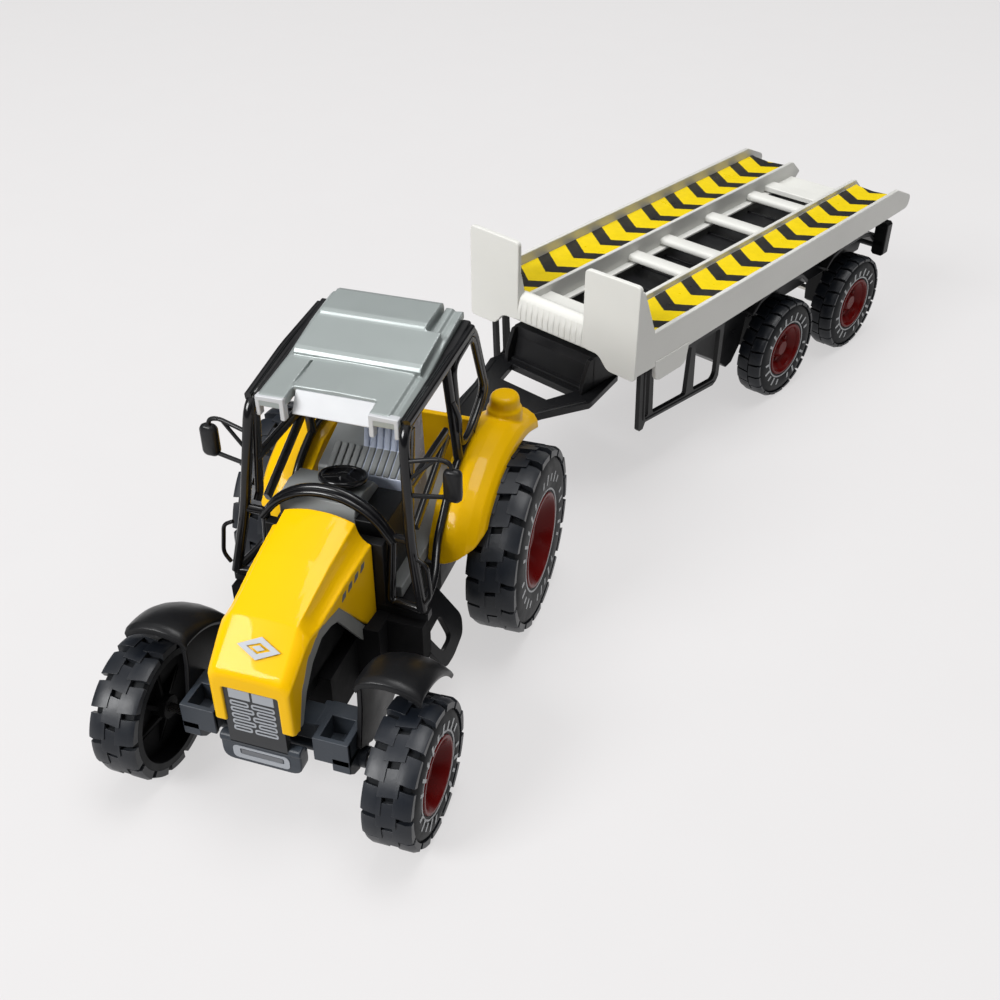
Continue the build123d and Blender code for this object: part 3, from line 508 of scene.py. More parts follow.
def tyre_piece(prefix, w, side):
    """Open ribbed carcass with staggered tread blocks and a plain grey ring of ticks."""
    y, z, inner, outer = w["y"], w["radius"], w["inner"], w["outer"]
    floor = z - w["height"]
    side_in = w["rim"] + 0.25
    print_grey, dark, wall = 1, 2, 3
    profile = [(inner, floor - 0.9), (inner + 0.8, floor - 0.1), (inner + 3, floor), (outer - 3, floor),
        (outer - 1.2, floor - 0.4), (outer - 0.35, floor - 1.6), (outer, floor - 3.2),
        (outer - 0.05, side_in + 2.2), (outer - 0.35, side_in + 0.9), (outer - 0.5, side_in),
        (outer - 1.8, side_in), (outer - 2.2, floor - 2.4), (inner, floor - 2.4)]
    b = Build().lathe(profile, y, z, 96, wall)
    hub = dish(w) - 1.2
    # The hub wall, ribs and lining inside the tyre take the darker black as painted shade.
    b.lathe([(hub - 1, 1.1), (hub, 1.1), (hub, floor - 2.2), (hub - 1, floor - 2.2)], y, z, 48, dark)
    b.lathe([(inner + 0.8, 1.05), (inner + 0.8, 2.6), (hub, 2.8), (hub, 1.05)], y, z, 32, dark)
    lining = [(inner + 0.3, floor - 2.5), (outer - 2.3, floor - 2.5), (outer - 2.3, floor - 2.38),
        (inner + 0.3, floor - 2.38)]
    b.lathe(lining, y, z, 96, dark)
    rib = [(0, 0), (hub - inner - 2.5, 0), (hub - inner - 2.5, floor - 4.3), (2.8, floor - 4.3)]
    for k in range(6):
        a = pi / 3 * k + 0.3
        s, c = sin(a), cos(a)
        slab(b, (inner + 2, y + 2 * s - 0.5 * c, z + 2 * c + 0.5 * s), (1, 0, 0), (0, s, c), 1, rib, mat=dark)
    pitch = 2 * pi / w["lugs"]
    for x0, x1, phase in w["rows"]:
        for k in range(w["lugs"]):
            lug(b, w, x0, x1, pitch * (k + phase), pitch * (1 - w["gap"]), 0.008 if phase else -0.008)
    tick_radius = side_in + 0.52 * (floor - 2.2 - side_in)
    for k in range(w["marks"]):
        if k % 6 == 5:
            continue
        a = 2 * pi * k / w["marks"]
        s, c = sin(a), cos(a)
        tall = 1.3 if k % 2 else 0.9
        foot = (outer - 0.05, y + (tick_radius - tall) * s, z + (tick_radius - tall) * c)
        tick = [(-0.5, 0), (0.3, 0), (0.6, 2 * tall), (-0.2, 2 * tall)]
        slab(b, foot, (0, c, -s), (0, s, c), 0.09, tick, mat=print_grey)
    line = [(outer - 0.36, side_in + 0.5), (outer - 0.24, side_in + 0.55), (outer - 0.22, side_in + 0.95),
        (outer - 0.34, side_in + 1)]
    b.lathe(line, y, z, 96, print_grey)
    node = prefix + "_tyre_" + hand(side)
    mats = [TYRE, MARK, SHADED_BLACK, WALL]
    part(node, b.on(side), prefix + "_wheels", mats, "tyre", bevel=0.16, angle=40)


def rim_piece(prefix, w, side):
    """Dished red rim with a rolled edge, a stepped floor, small knobs and a hub cap."""
    outer, r, y, z = w["outer"], w["rim"], w["y"], w["radius"]
    floor = dish(w)
    profile = [(outer - 1.6, r + 0.22), (outer - 0.45, r + 0.22), (outer - 0.12, r + 0.02),
        (outer - 0.12, r - 0.5), (outer - 0.5, r - 0.9), (outer - 1.1, r - 1.15), (floor + 1.2, 0.66 * r),
        (floor + 0.4, 0.6 * r), (floor + 0.35, 0.42 * r), (floor + 1.5, 0.33 * r), (floor + 2, 0.27 * r),
        (floor + 2, 0.02), (floor - 1.1, 0.02), (floor - 1.1, 0.62 * r), (outer - 2, r - 0.4)]
    b = Build().lathe(profile, y, z, 96)
    for k in range(8):
        a = pi / 4 * k + 0.2
        size = 0.07 * r
        knob = [(floor + 0.2, 0.02), (floor + 0.75, 0.02), (floor + 0.7, size), (floor + 0.2, size * 1.15)]
        b.lathe(knob, y + 0.5 * r * sin(a), z + 0.5 * r * cos(a), 12)
    node = prefix + "_rim_" + hand(side)
    part(node, b.on(side), prefix + "_wheels", [RED], "red_rim", bevel=0.12, angle=28)


def wheels():
    for prefix, w in WHEELS.items():
        for side in SIDES:
            tyre_piece(prefix, w, side)
            rim_piece(prefix, w, side)


def axles():
    """Steel axles with softened ends."""
    for prefix, w in WHEELS.items():
        half = dish(w) + 1.15
        profile = [(-half, 0.02), (-half, 0.8), (-half + 0.25, 1), (half - 0.25, 1), (half, 0.8),
            (half, 0.02)]
        b = Build().lathe(profile, w["y"], w["radius"], 40)
        node = prefix + "_axle"
        part(node, b, prefix + "_wheels", [STEEL], "steel", bevel=0, angle=40)


# ---- tractor
NOSE_Y, HOOD_REAR_Y, HOOD_LENGTH = -79.4, -43.6, 35.8
HOOD_LINE = [(NOSE_Y, 39.9), (-70.1, 47.3), (-56, 51.7), (HOOD_REAR_Y, 54.6)]
ARCH = [(-46.2, 27.5), (-58.5, 43), (-66.5, 43.7), (-71.5, 40.5), (-74.8, 35), (-77.2, 26.4)]


def hood_half_width(y):
    return 8.9 + 2.4 * ((y - NOSE_Y) / HOOD_LENGTH)


def hood_rings(grow, front, rear, low, nose=1.2):
    """Rings across the hood; the nose edge is turned in over the length of its radius."""
    rings = []
    turns = {front + nose * t: nose * (1 - sqrt(1 - (1 - t) ** 2)) for t in (0, 0.12, 0.3, 0.6, 1)}
    for y in sorted(set(turns) | {-74, -72, -70.1, -66, -61, -56, -50, rear}):
        if not front <= y <= rear:
            continue
        inset = turns.get(y, 0)
        at = max(min(y, HOOD_REAR_Y), NOSE_Y)
        top = blend_line(HOOD_LINE, at) + grow - inset * 0.9
        w = hood_half_width(at) + grow - inset * 0.8
        c = blend_line([(NOSE_Y, 7.1), (-70.1, 7.1), (HOOD_REAR_Y, 8)], at) + (grow - inset) * 0.5
        crown = blend_line([(NOSE_Y, 0.35), (-70.1, 0.4), (HOOD_REAR_Y, 1.5)], at)
        drop = blend_line([(NOSE_Y, 1.8), (-72, 2), (-66, 3.6), (HOOD_REAR_Y, 4.8)], at)
        half = [(w, low)]
        hollow = min(1, max(0, (at + 71) / 7))
        bend = Vector((w - (0.4 + 0.4 * hollow) * (w - c), top - crown - (0.34 + 0.5 * hollow) * drop))
        start, end = Vector((w, top - crown - drop)), Vector((c, top - crown))
        for k in range(5):
            t = k / 5
            p = start * (1 - t) ** 2 + bend * 2 * t * (1 - t) + end * t * t
            half.append((p.x, p.y))
        half += [(c * t, top - crown * t * t) for t in (1, 0.8, 0.6, 0.4, 0.2)]
        rings.append([(-x, y, z) for x, z in half] + [(0, y, top)] + [(x, y, z) for x, z in reversed(half)])
    return rings


def hood():
    outer = Build().loft(hood_rings(0, NOSE_Y, HOOD_REAR_Y, 18))
    inner = Build().loft(hood_rings(-1.25, -78.1, -40, 10, 1))
    notch = Build().plate("X", -40, 40, [(-38, 10), (-38, 27.5)] + ARCH + [(-77.2, 10)])
    front = Build().box(-6, 6, -90, -76.9, 10, 35.8)
    under = Build().box(-40, 40, -90, -38, 9, 26.4)
    cuts = [inner, notch, front, under]
    cast("hood_look", outer, YELLOW, cuts, ["hood"], voxel=0.22, smooth=4)


def hood_marks():
    """Plain diamond on the nose and slanted bars on the flanks."""
    slope = Vector((0, 9.3, 7.4)).normalized()
    mark = Build()
    centre = Vector((0.9, -74.9, 43.84))
    diamond = [(-4.6, 0), (0, -2.3), (4.6, 0), (0, 2.3)]
    slab(mark, centre, (1, 0, 0), slope, 0.1, diamond, [[(-2.6, 0), (0, 1.1), (2.6, 0), (0, -1.1)]])
    slab(mark, centre, (1, 0, 0), slope, 0.1, [(-1.4, 0), (0, -0.6), (1.4, 0), (0, 0.6)])
    for side in SIDES:
        for k in range(4):
            y, z = -57.4 + 2.7 * k, 43.6 + 0.45 * k
            x = side * hood_half_width(y)
            bar = [(y, z), (y + 1.7, z + 0.2), (y + 2.3, z + 1.7), (y + 0.6, z + 1.5)]
            mark.plate("X", x - side * 0.1, x + side * 0.14, bar, mat=1)
    piece("hood_marks", mark, "tractor", [PRINT, FAINT], "dark_grey_plastic", bevel=0)


def hood_bands():
    """Grey rim that follows the wheel cut-out on each flank."""
    for side in SIDES:
        band = Build()
        outer = [(-46.6, 27.2), (-58.2, 43.2), (-61.5, 44), (-66.8, 44.1), (-71.8, 40.9), (-75.1, 35.3),
            (-77.3, 26.6)]
        inner = [(-49.6, 26.5), (-59.2, 39.9), (-61.9, 40.9), (-65.7, 41), (-69.8, 38), (-73.1, 33.2),
            (-75.7, 26.6)]
        rings = []
        for (y, z), (v, w) in zip(outer, inner):
            at = [side * (hood_half_width(t) - 0.16) for t in (y, v)]
            rings.append([(at[0], y, z), (at[1], v, w), (at[1] - side, v, w), (at[0] - side, y, z)])
        band.loft(rings)
        piece("hood_band_" + hand(side), band, "tractor", [LINER], "dark_grey_plastic", bevel=0.2)


def hood_liner():
    outer = Build().loft(hood_rings(-1.3, -78, -43.9, 18, 1))
    inner = Build().loft(hood_rings(-2.3, -77.2, -40, 10, 1))
    arch = [(y + 1.2, z - 2.6) for y, z in ARCH]
    low = Build().plate("X", -40, 40, [(-38, 10), (-38, arch[0][1])] + arch[:-1] + [(-75.6, 10)])
    under = Build().box(-40, 40, -90, -38, 9, 26.4)
    middle = Build().box(-6.3, 6.3, -90, -75, 9, 60)
    cast("hood_liner_look", outer, BLACK, [inner, low, under, middle], voxel=0.24,
        smooth=4)


def grille_face():
    """Dark panel with two grey blocks and five rows of grey slots."""
    b = Build().plate("Y", -78.9, -77.2, [(-6.4, 20.2), (6.4, 20.2), (6.4, 36.4), (-6.4, 36.4)])
    for x0, x1 in ((-4.9, -0.25), (0.25, 4.9)):
        b.box(x0, x1, -78.98, -78.8, 33, 35.4, 1)
    for row in range(5):
        z = 31.7 - 1.75 * row
        shift = 0.5 if row % 2 else -0.5
        for x0, x1 in ((-4.9, shift - 0.25), (shift + 0.25, 4.9)):
            middle = (x0 + x1) / 2
            slot = ring_points(x1 - x0, 1.35, 0.5, 3, middle, z)
            hole = ring_points(x1 - x0 - 0.8, 0.5, 0.24, 3, middle, z)
            b.plate("Y", -78.98, -78.8, slot, [hole], 1)
    piece("grille_look", b, "tractor", [PANEL, PRINT], "dark_grey_plastic", ["grille_liner"], bevel=0.05)


def front_weight():
    lobe = rounded([(-8.9, 19.8), (-8.9, 14.4), (8.9, 14.4), (8.9, 19.8)], 2.6, 5, closed=False)
    b = Build().plate("Y", -78.6, -75.3, lobe)
    strip = ring_points(2.6, 2.2, 0.9)
    b.sweep([(-9, -77.6, 20.3), (9, -77.6, 20.3)], strip, side=(0, 1, 0))
    b.box(-6, 6, -77.2, -76.4, 19, 30)
    part("front_weight", b, "tractor", [SLATE], "black_plastic", bevel=0.55, segments=3)
    hole = ring_points(9.8, 1.6, 0.4, 3, 0.2, 17.5)
    p = Build().plate("Y", -78.72, -78.55, ring_points(12.6, 3.4, 1, 3, 0, 17.2), [hole])
    p.box(-4.4, 4.8, -78.7, -78.56, 16.9, 18.1, 1)
    piece("front_weight_print", p, "tractor", [PRINT, FAINT], "dark_grey_plastic", bevel=0)


def front_axle():
    """Beam with an open box, a hanging plate and a boss at each end."""
    sleeve = [(-15.4, 1.05), (-15.4, 1.45), (15.4, 1.45), (15.4, 1.05)]
    b = Build().lathe(sleeve, FRONT_AXLE_Y, FRONT_AXLE_Z, 32)
    b.box(-10.2, 10.2, -73.4, -67.4, 20, 24.5)
    for s in SIDES:
        b.box(s * 9.4, s * 11.2, -73.2, -66.2, 18.8, 24.46)
        b.box(s * 10.9, s * 18.7, -76.8, -75.65, 18.2, 24.5)
        b.box(s * 10.9, s * 18.7, -69.9, -66, 19.2, 24.5)
        b.box(s * 10.9, s * 12.3, -76.6, -66.2, 18.6, 24.48)
        b.box(s * 17.3, s * 18.7, -76.6, -66.2, 18.6, 24.48)
        b.box(s * 11.1, s * 18.5, -76.4, -66.4, 18.4, 19.6)
        b.plate("X", s * 14.8, s * 18.7, [(-76.8, 20), (-76.8, 16.4), (-75, 14.6), (-72.6, 13.6),
            (-69.2, 13.6), (-67.4, 15.6), (-66.2, 20)])
        boss = [(s * x, FRONT_AXLE_Y, FRONT_AXLE_Z) for x in (18.4, 20.2)]
        b.sweep(boss, circle(2.3, 16), side=(0, 1, 0))
    piece("front_beam_look", b, "front_axle", [SLATE], "black_plastic", ["front_axle_beam"], bevel=0.28)


def front_fender(side):
    """Sheet over the tyre with a rolled front lip, and the upright plate that carries it."""
    def point(x, r, a):
        return (x, FRONT_AXLE_Y + r * sin(a), FRONT_AXLE_Z + r * cos(a))

    radius = 20.6
    across = [(18.2, -0.6), (18.7, 0.6), (20, 1.5), (22.4, 2.3), (25, 2.6), (27.8, 2.3), (30.4, 1.4),
        (32, 0.4), (32.6, -0.4)]
    rings = []
    for k in range(25):
        share = k / 24
        a = radians(-2 + 59 * share)
        drop = 0.7 if k == 0 else 0
        lip = 0.5 * max(0, 1 - k / 1.6)
        swell = 1 - 0.35 * share
        outer = [point(x, radius + h * swell - drop, a) for x, h in across]
        inner = []
        for x, h in reversed(across):
            draw_in = 0.5 if x < 20 else -0.3 if x > 30 else 0
            inner.append(point(x + draw_in, radius + h * swell - 1 - drop - lip, a))
        rings.append(outer + inner)
    b = Build().loft(rings)
    plate = [(-70.9, 36.8), (-71.3, 30), (-72.4, 24.6), (-73.4, 20.6), (-68, 17.4), (-58, 17.6),
        (-52.4, 20.6), (-54, 28), (-60.5, 33.8), (-65, 36.2)]
    b.plate("X", 18.7, 19.8, plate)
    node = "front_fender_" + hand(side)
    part(node, b.on(side), "front_axle", [BLACK], "black_plastic", bevel=0.3, angle=40, segments=3)


FENDER = [(-24.3, 30.5), (-22.8, 36), (-18, 42.4), (-9, 47.2), (2, 48.9), (14, 47.4), (23, 43.6)]


def rear_fenders():
    """Bulging fenders with inner walls, a light pod on each and the rear wall between them."""
    line = fillet([(0, y, z) for y, z in FENDER], 6, 4)
    rings = []
    for i, p in enumerate(line):
        before, after = line[max(i - 1, 0)], line[min(i + 1, len(line) - 1)]
        along = (after - before).normalized()
        out = Vector((0, -along.z, along.y))
        share = i / (len(line) - 1)
        full = min(1, share * 5)
        section = [(15.8, -1.2), (16.4, 0.3), (17.6, 0.7), (19.4, 0.9 + 0.5 * full), (22, 0.9 + 0.6 * full),
            (24.6, 0.5 + 0.5 * full), (26.6, -0.4 + 0.2 * full), (27.7, -1.6), (28, -3.2), (27.2, -3.6),
            (26.6, -2.4), (24.6, -1), (20, -0.6), (17, -2), (15.8, -2.2)]
        rings.append([(x, p.y + out.y * h, p.z + out.z * h) for x, h in section])
    b = Build().loft(rings)
    b.plate("X", 15.6, 17.2, FENDER + [(20, 36), (17, 28.2), (-20, 27.4)])
    dome = [(0.4, 54.1), (2.6, 54), (3.3, 53.6), (3.6, 52.9), (3.7, 51.4), (3.9, 50.8), (4.3, 50.4),
        (4.4, 49.6), (4.4, 46)]
    b.loft([[(u, v, z) for u, v in circle(r, 24, 21.8, 13 + 0.06 * (z - 46))] for r, z in dome])
    b.plate("Z", 40.2, 43.4, [(17, 20.5), (26.5, 20.5), (26.5, 23.4), (17, 23.4)])
    b.mirror()
    b.box(-16.4, 16.4, 9, 10.6, 30.6, 47.8)
    corner = [(28.9, 38.8), (26.4, 35), (22.9, 32.2), (18.9, 30.2), (18.9, 20), (45, 20), (45, 38.8)]
    cut = Build().plate("Y", -45, -10, corner).mirror()
    cast("rear_fenders_look", b, YELLOW, [cut], ["rear_fenders"], voxel=0.3)


def cab_interior():
    """Black dash box, grey console and seat with a ribbed cushion and back."""
    b = Build()
    b.box(5, 12.2, -38.4, -25.6, 30.6, 49.6, 2)
    b.plate("X", -12.2, 5.4, [(-38.6, 30.6), (-38.6, 50.2), (-37.4, 52.4), (-33.2, 53.2), (-27.6, 52.2),
        (-25.6, 49.8), (-25.2, 30.6)], mat=1)
    b.box(-15.2, 15.2, -38.5, 8.8, 30.6, 33.6, 1)
    b.plate("X", -10.5, -1.2, [(-23, 33), (-23, 49.6), (-22.4, 50.4), (-10.6, 54.6), (-9.2, 54.2),
        (-8.4, 52.6), (-8, 33)], mat=1)
    b.plate("X", -1.6, 10, [(-23, 33), (-23, 50), (-17, 53.5), (-14, 65.2), (-13.2, 66.3), (-11.2, 66.3),
        (-10.4, 65.2), (-8, 33)])
    for k in range(-4, 7):
        x = -0.8 + 1.67 * k
        b.tube([(x, -22.8, 50.15), (x, -17, 53.5)], 1.4, 0.8, mat=1)
        if k >= 0:
            b.tube([(x, -17.1, 53.3), (x, -14.5, 64)], 1.35, 0.9)
    b.box(-9, -4, -24.2, -22.4, 46, 49.4)
    part("cab_interior", b, "tractor", [INSERT, DASH, BLACK], "silver_plastic", bevel=0.4, segments=3)


def steering_wheel():
    """Three spokes over a thin disc, on a short column that leans back."""
    b = Build()
    lean = Matrix.Translation((0, -31.4, 54.9)) @ Matrix.Rotation(radians(-13), 4, "X")
    rim = [(u, v, 0) for u, v in circle(4.9, 48)]
    b.sweep(rim, ring_points(1.25, 1, 0.45), side=(0, 0, 1), closed=True)
    for k in range(3):
        a = radians(120 * k + 90)
        s, c = sin(a), cos(a)
        b.tube([(0.8 * c, 0.8 * s, 0.1), (4.7 * c, 4.7 * s, 0)], 1.7, 0.8, side=(-s, c, 0))
    b.turned([(4.5, -0.35), (4.5, 0), (0.5, 0.1)], 32)
    b.turned([(0.9, -3.9), (0.9, -0.9), (1.5, -0.6), (1.5, 0.5), (0.9, 0.8)], 20)
    b.verts = [lean @ v for v in b.verts]
    part("steering_wheel", b, "tractor", [GLOSS], "black_plastic", bevel=0.12, angle=40)


A_FOOT, A_BELT, A_TOP = (21.9, -43.6, 33.2), (18.9, -41.2, 49.3), (17, -37, 73.6)
C_TOP, C_BEND, C_FOOT = (17.9, 1.4, 77.4), (17.8, 10.6, 56.5), (17.6, 0.5, 50.6)
B_TOP, B_FOOT = (17.4, -14, 75.7), (18.2, -9.5, 49.5)


def cab_frame():
    """Side hoops, roof edges, pillars, door bars, handrails and the double arch over the dash."""
    b = Build()
    b.tube([A_FOOT, A_BELT, A_TOP, C_TOP, C_BEND, C_FOOT], 2.2, corner=4, steps=4)
    b.tube([(17.5, -36.2, 74.2), (18.2, -18, 76.2), (18.3, 0.6, 77.2)], 1.5, 2.2, corner=3)
    b.tube([B_TOP, B_FOOT], 2.2, 1.9)
    b.tube([A_BELT, (14.6, -40.2, 48.6), (14.4, -42.6, 33.2), A_FOOT], 1.9, corner=1.6)
    b.tube([A_FOOT, (20.6, -33, 33.2), (18.4, -24.8, 37.2), (18.4, -16.2, 45.8), B_FOOT, C_FOOT], 1.9,
        corner=3)
    b.tube([(17.3, -34, 72), (17.4, -37.2, 51), (17.4, -38.6, 49.6)], 1.2, 2.6, corner=1.5)
    b.tube([(16.6, -35.6, 73.9), (16.9, -18, 75.6), (16.9, 1, 78.2)], 2.2, 1.4, corner=3)
    b.tube([(18.3, -12, 74.6), (18.4, -8.6, 51.8), (18.2, -0.6, 52.2), (18.1, 8.8, 57.2), (18.1, 0.8, 75.6)],
        1.5, corner=3.4, closed=True)
    b.tube([(17.4, -37, 59.4), (17.3, -14.6, 59.3)], 1.3, 2.5)
    b.tube([(17.4, -34.4, 47.6), (17.3, -14, 58)], 1.3, 2.7)
    b.tube([(21.2, -43.2, 46.4), (23.4, -43.6, 45.4), (24.2, -44.2, 38), (22.8, -44, 35.6)], 0.9, corner=1.4)
    b.tube([(18.2, -12.6, 66), (19.4, -12, 62), (19.2, -11.2, 58)], 1.4, corner=1.4)
    b.mirror()
    arch = [(-14.6, -40.2, 48.6), (-10.8, -39.8, 53.6), (-5.4, -39.5, 56.5), (0, -39.4, 57.3),
        (5.4, -39.5, 56.5), (10.8, -39.8, 53.6), (14.6, -40.2, 48.6)]
    b.tube(arch, 1.8, corner=3, side=(0, 1, 0))
    b.tube([(x * 1.02, y - 1.2, z - 0.6) for x, y, z in arch], 1.6, corner=3, side=(0, 1, 0))
    b.tube([(17.9, 1.4, 75.7), (-17.9, 1.4, 75.7)], 1.7)
    part("cab_frame", b, "tractor", [GLOSS], "gloss_black_plastic", bevel=0, angle=50)


def mirror_piece(side):
    """Rounded mirror head on two thin arms and a brace."""
    b = Build()
    x, y, z = 27.3, -37.5, 62.6
    head = []
    for dy, grow in ((-1.1, -0.7), (-0.7, -0.15), (0, 0), (0.8, -0.2), (1.1, -0.6)):
        ring = ring_points(4 + 2 * grow, 7.8 + 2 * grow, 1.3 + grow * 0.4, 5, x, z)
        head.append([(u, y + dy, v) for u, v in ring])
    b.loft(head)
    b.tube([(18.1, -38.3, 67), (x - 2.8, y, 68.4), (x - 0.3, y, 67.8), (x - 0.2, y, 64.6)], 0.95, corner=1.6)
    b.tube([(18.9, -39.2, 59.4), (x - 1.4, y, 59.4)], 0.95)
    b.tube([(18.6, -38.7, 63.2), (x - 3.6, y, 68)], 0.8)
    node = "mirror_" + hand(side)
    part(node, b.on(side), "tractor", [BLACK], "black_plastic", bevel=0, angle=50)


def roof():
    """Stepped silver roof with a groove beside its left edge and a recess for the visor."""
    front, rear = -36.6, 2.6
    b = Build()
    rings = []
    for y in (front, -35.8, -30, -20.8, -14, -8.9, -3, 1.8, rear):
        level = blend_line([(front, 75.4), (-20.8, 76.9), (-8.9, 79.4), (rear, 80.9)], y)
        z = level - (0.5 if y in (front, rear) else 0)
        side = blend_line([(-14, 1.3), (-3, 0.5)], y)
        rings.append([(-15.9, y, level - 2.6), (-15.9, y, z - 0.9), (-15, y, z - 0.15), (-8, y, z),
            (0, y, z + 0.15), (8, y, z), (13.4, y, z - 0.15), (14, y, z - 0.75), (14.7, y, z - 0.6),
            (15.9, y, z - side), (15.9, y, level - 2.6)])
    b.loft(rings)
    b.plate("X", -14.2, 14.8, [(-21, 76), (-21.4, 77.4), (-20.9, 78.2), (-20, 78.6), (-8.9, 80.5),
        (-8.9, 78.6)])
    b.plate("X", -13.6, 11.3, [(-9, 78.6), (-9.2, 80.5), (-8.6, 81.2), (-7.6, 81.5), (0.6, 82), (2, 81.6),
        (2.6, 80.6), (2.6, 78.8)])
    recess = Build().box(-9.3, 9.3, -40, -31.7, 66, 90)
    groove = Build().box(-9.8, -9.2, -40, -21.8, 75.6, 90)
    groove.box(11.3, 11.9, -8.6, 5, 78.9, 90)
    cast("roof_look", b, SILVER, [recess, groove], ["roof"], voxel=0.2)


def roof_front():
    """Visor, corner tabs and the lamp strips between them, in a lighter silver that is partly their own paler
    tone and partly a painted highlight.
    """
    v = Build().plate("X", -8.8, 9, [(-31.9, 75.2), (-34.6, 70.8), (-33.9, 70.4), (-31, 74.8)])
    piece("roof_visor_look", v, "tractor", [PALE_SILVER_AND_HIGHLIGHT], "silver_paint", bevel=0.2)
    # The tabs take the lighter silver as a painted highlight on their frames.
    tab = [(9.3, 70), (9.3, 75.3), (15.8, 75.1), (15.8, 70.4), (14.8, 70.4), (14.8, 74), (10.4, 74),
        (10.4, 70)]
    piece("roof_tabs_look", Build().plate("Y", -36.7, -34.9, tab).mirror(), "tractor", [PALE_SILVER_AND_HIGHLIGHT],
        "silver_paint", bevel=0.25, segments=3)
    g = Build()
    for s in SIDES:
        g.plate("X", s * 10.2, s * 15, [(-34.9, 72.4), (-34.2, 74.6), (-33.8, 74.6), (-34.4, 72.2)])
    piece("roof_lamp_look", g, "tractor", [PALE_SILVER_AND_HIGHLIGHT], "silver_paint", bevel=0.08)


def chassis():
    """Nose, belly and tub of the underframe, with a step loop below each door."""
    b = Build()
    # Material 1 is the darker black: painted shade on the nose, under-hood and belly boxes.
    b.box(-6, 6, -76.2, -44, 24.9, 33, 1)
    b.box(-7.2, 7.2, -72, -46, 30, 40.5, 1)
    b.box(-9, 9, -63.2, 12, 14, 27, 1)
    b.box(-19, 19, -43, -24.8, 24, 30.3)
    b.box(-14.4, 14.4, -50, -24.9, 15, 30.2, 1)
    b.box(-22.6, 22.6, -45.8, -41.2, 19, 30.1, 1)
    b.box(-15.2, 15.2, -25, 17, 15, 30.3)
    b.box(-23, 23, -43.3, -41, 30, 32)
    b.box(-13.4, 13.4, -43.2, -40.6, 31, 48)
    for s in SIDES:
        b.sweep([(s * 15, 0, 23), (s * 22.6, 0, 23)], circle(3.6, 24), side=(0, 1, 0))
    step = Build()
    outline = rounded([(-3, 0), (-3, 9), (-1.8, 14.2), (3, 14.6), (10.2, 13.8), (13.4, 11), (11, 0)], 1.6)
    hole = rounded([(-0.8, 5.5), (0.6, 11.4), (6.2, 11.4), (6.8, 5.5)], 1.5)
    slab(step, (18.6, -39, 27), (0, 1, 0), (0.5, 0, -0.87), 1.4, outline, [hole])
    step.mirror()
    b.add(step.verts, step.faces)
    part("chassis", b, "tractor", [BLACK, SHADED_BLACK], "black_plastic", bevel=0.3)


def screw_heads(node, body, bottom, lines):
    """Round screw heads on the underside of a frame, at the bottom height."""
    levels = [(r, bottom - down) for r, down in ((0.9, 0.75), (1.4, 0.6), (1.6, 0.2), (1.6, 0))]
    heads = Build()
    for y in lines:
        heads.turned(levels, 24, y)
    part(node, heads, body, [STEEL], "steel", bevel=0.1)


def hitch_and_screws():
    tongue = [(-7, 17), (7, 17), (4, HITCH_Y + 2.2), (2.6, HITCH_Y + 3), (-2.6, HITCH_Y + 3),
        (-4, HITCH_Y + 2.2)]
    b = Build().plate("Z", 22, 25.6, tongue)
    b.turned([(1.6, 24), (1.6, 31.2), (1.2, 31.9), (0.5, 32)], 32, HITCH_Y)
    b.box(-5, 5, 15.5, 18.5, 20, 28.5)
    part("tow_hitch", b, "tractor", [BLACK], "black_plastic", bevel=0.3)
    screw_heads("chassis_screws", "tractor", 14, (-50, 8))
    pin = Build()
    pin.turned([(0.9, 17.2), (2, 17.35), (2.4, 17.8), (2.4, 18.6), (1.2, 18.6), (1.2, 30)], 28, FRONT_AXLE_Y)
    part("steering_pivot_screw", pin, "tractor", [STEEL], "steel", bevel=0.1)


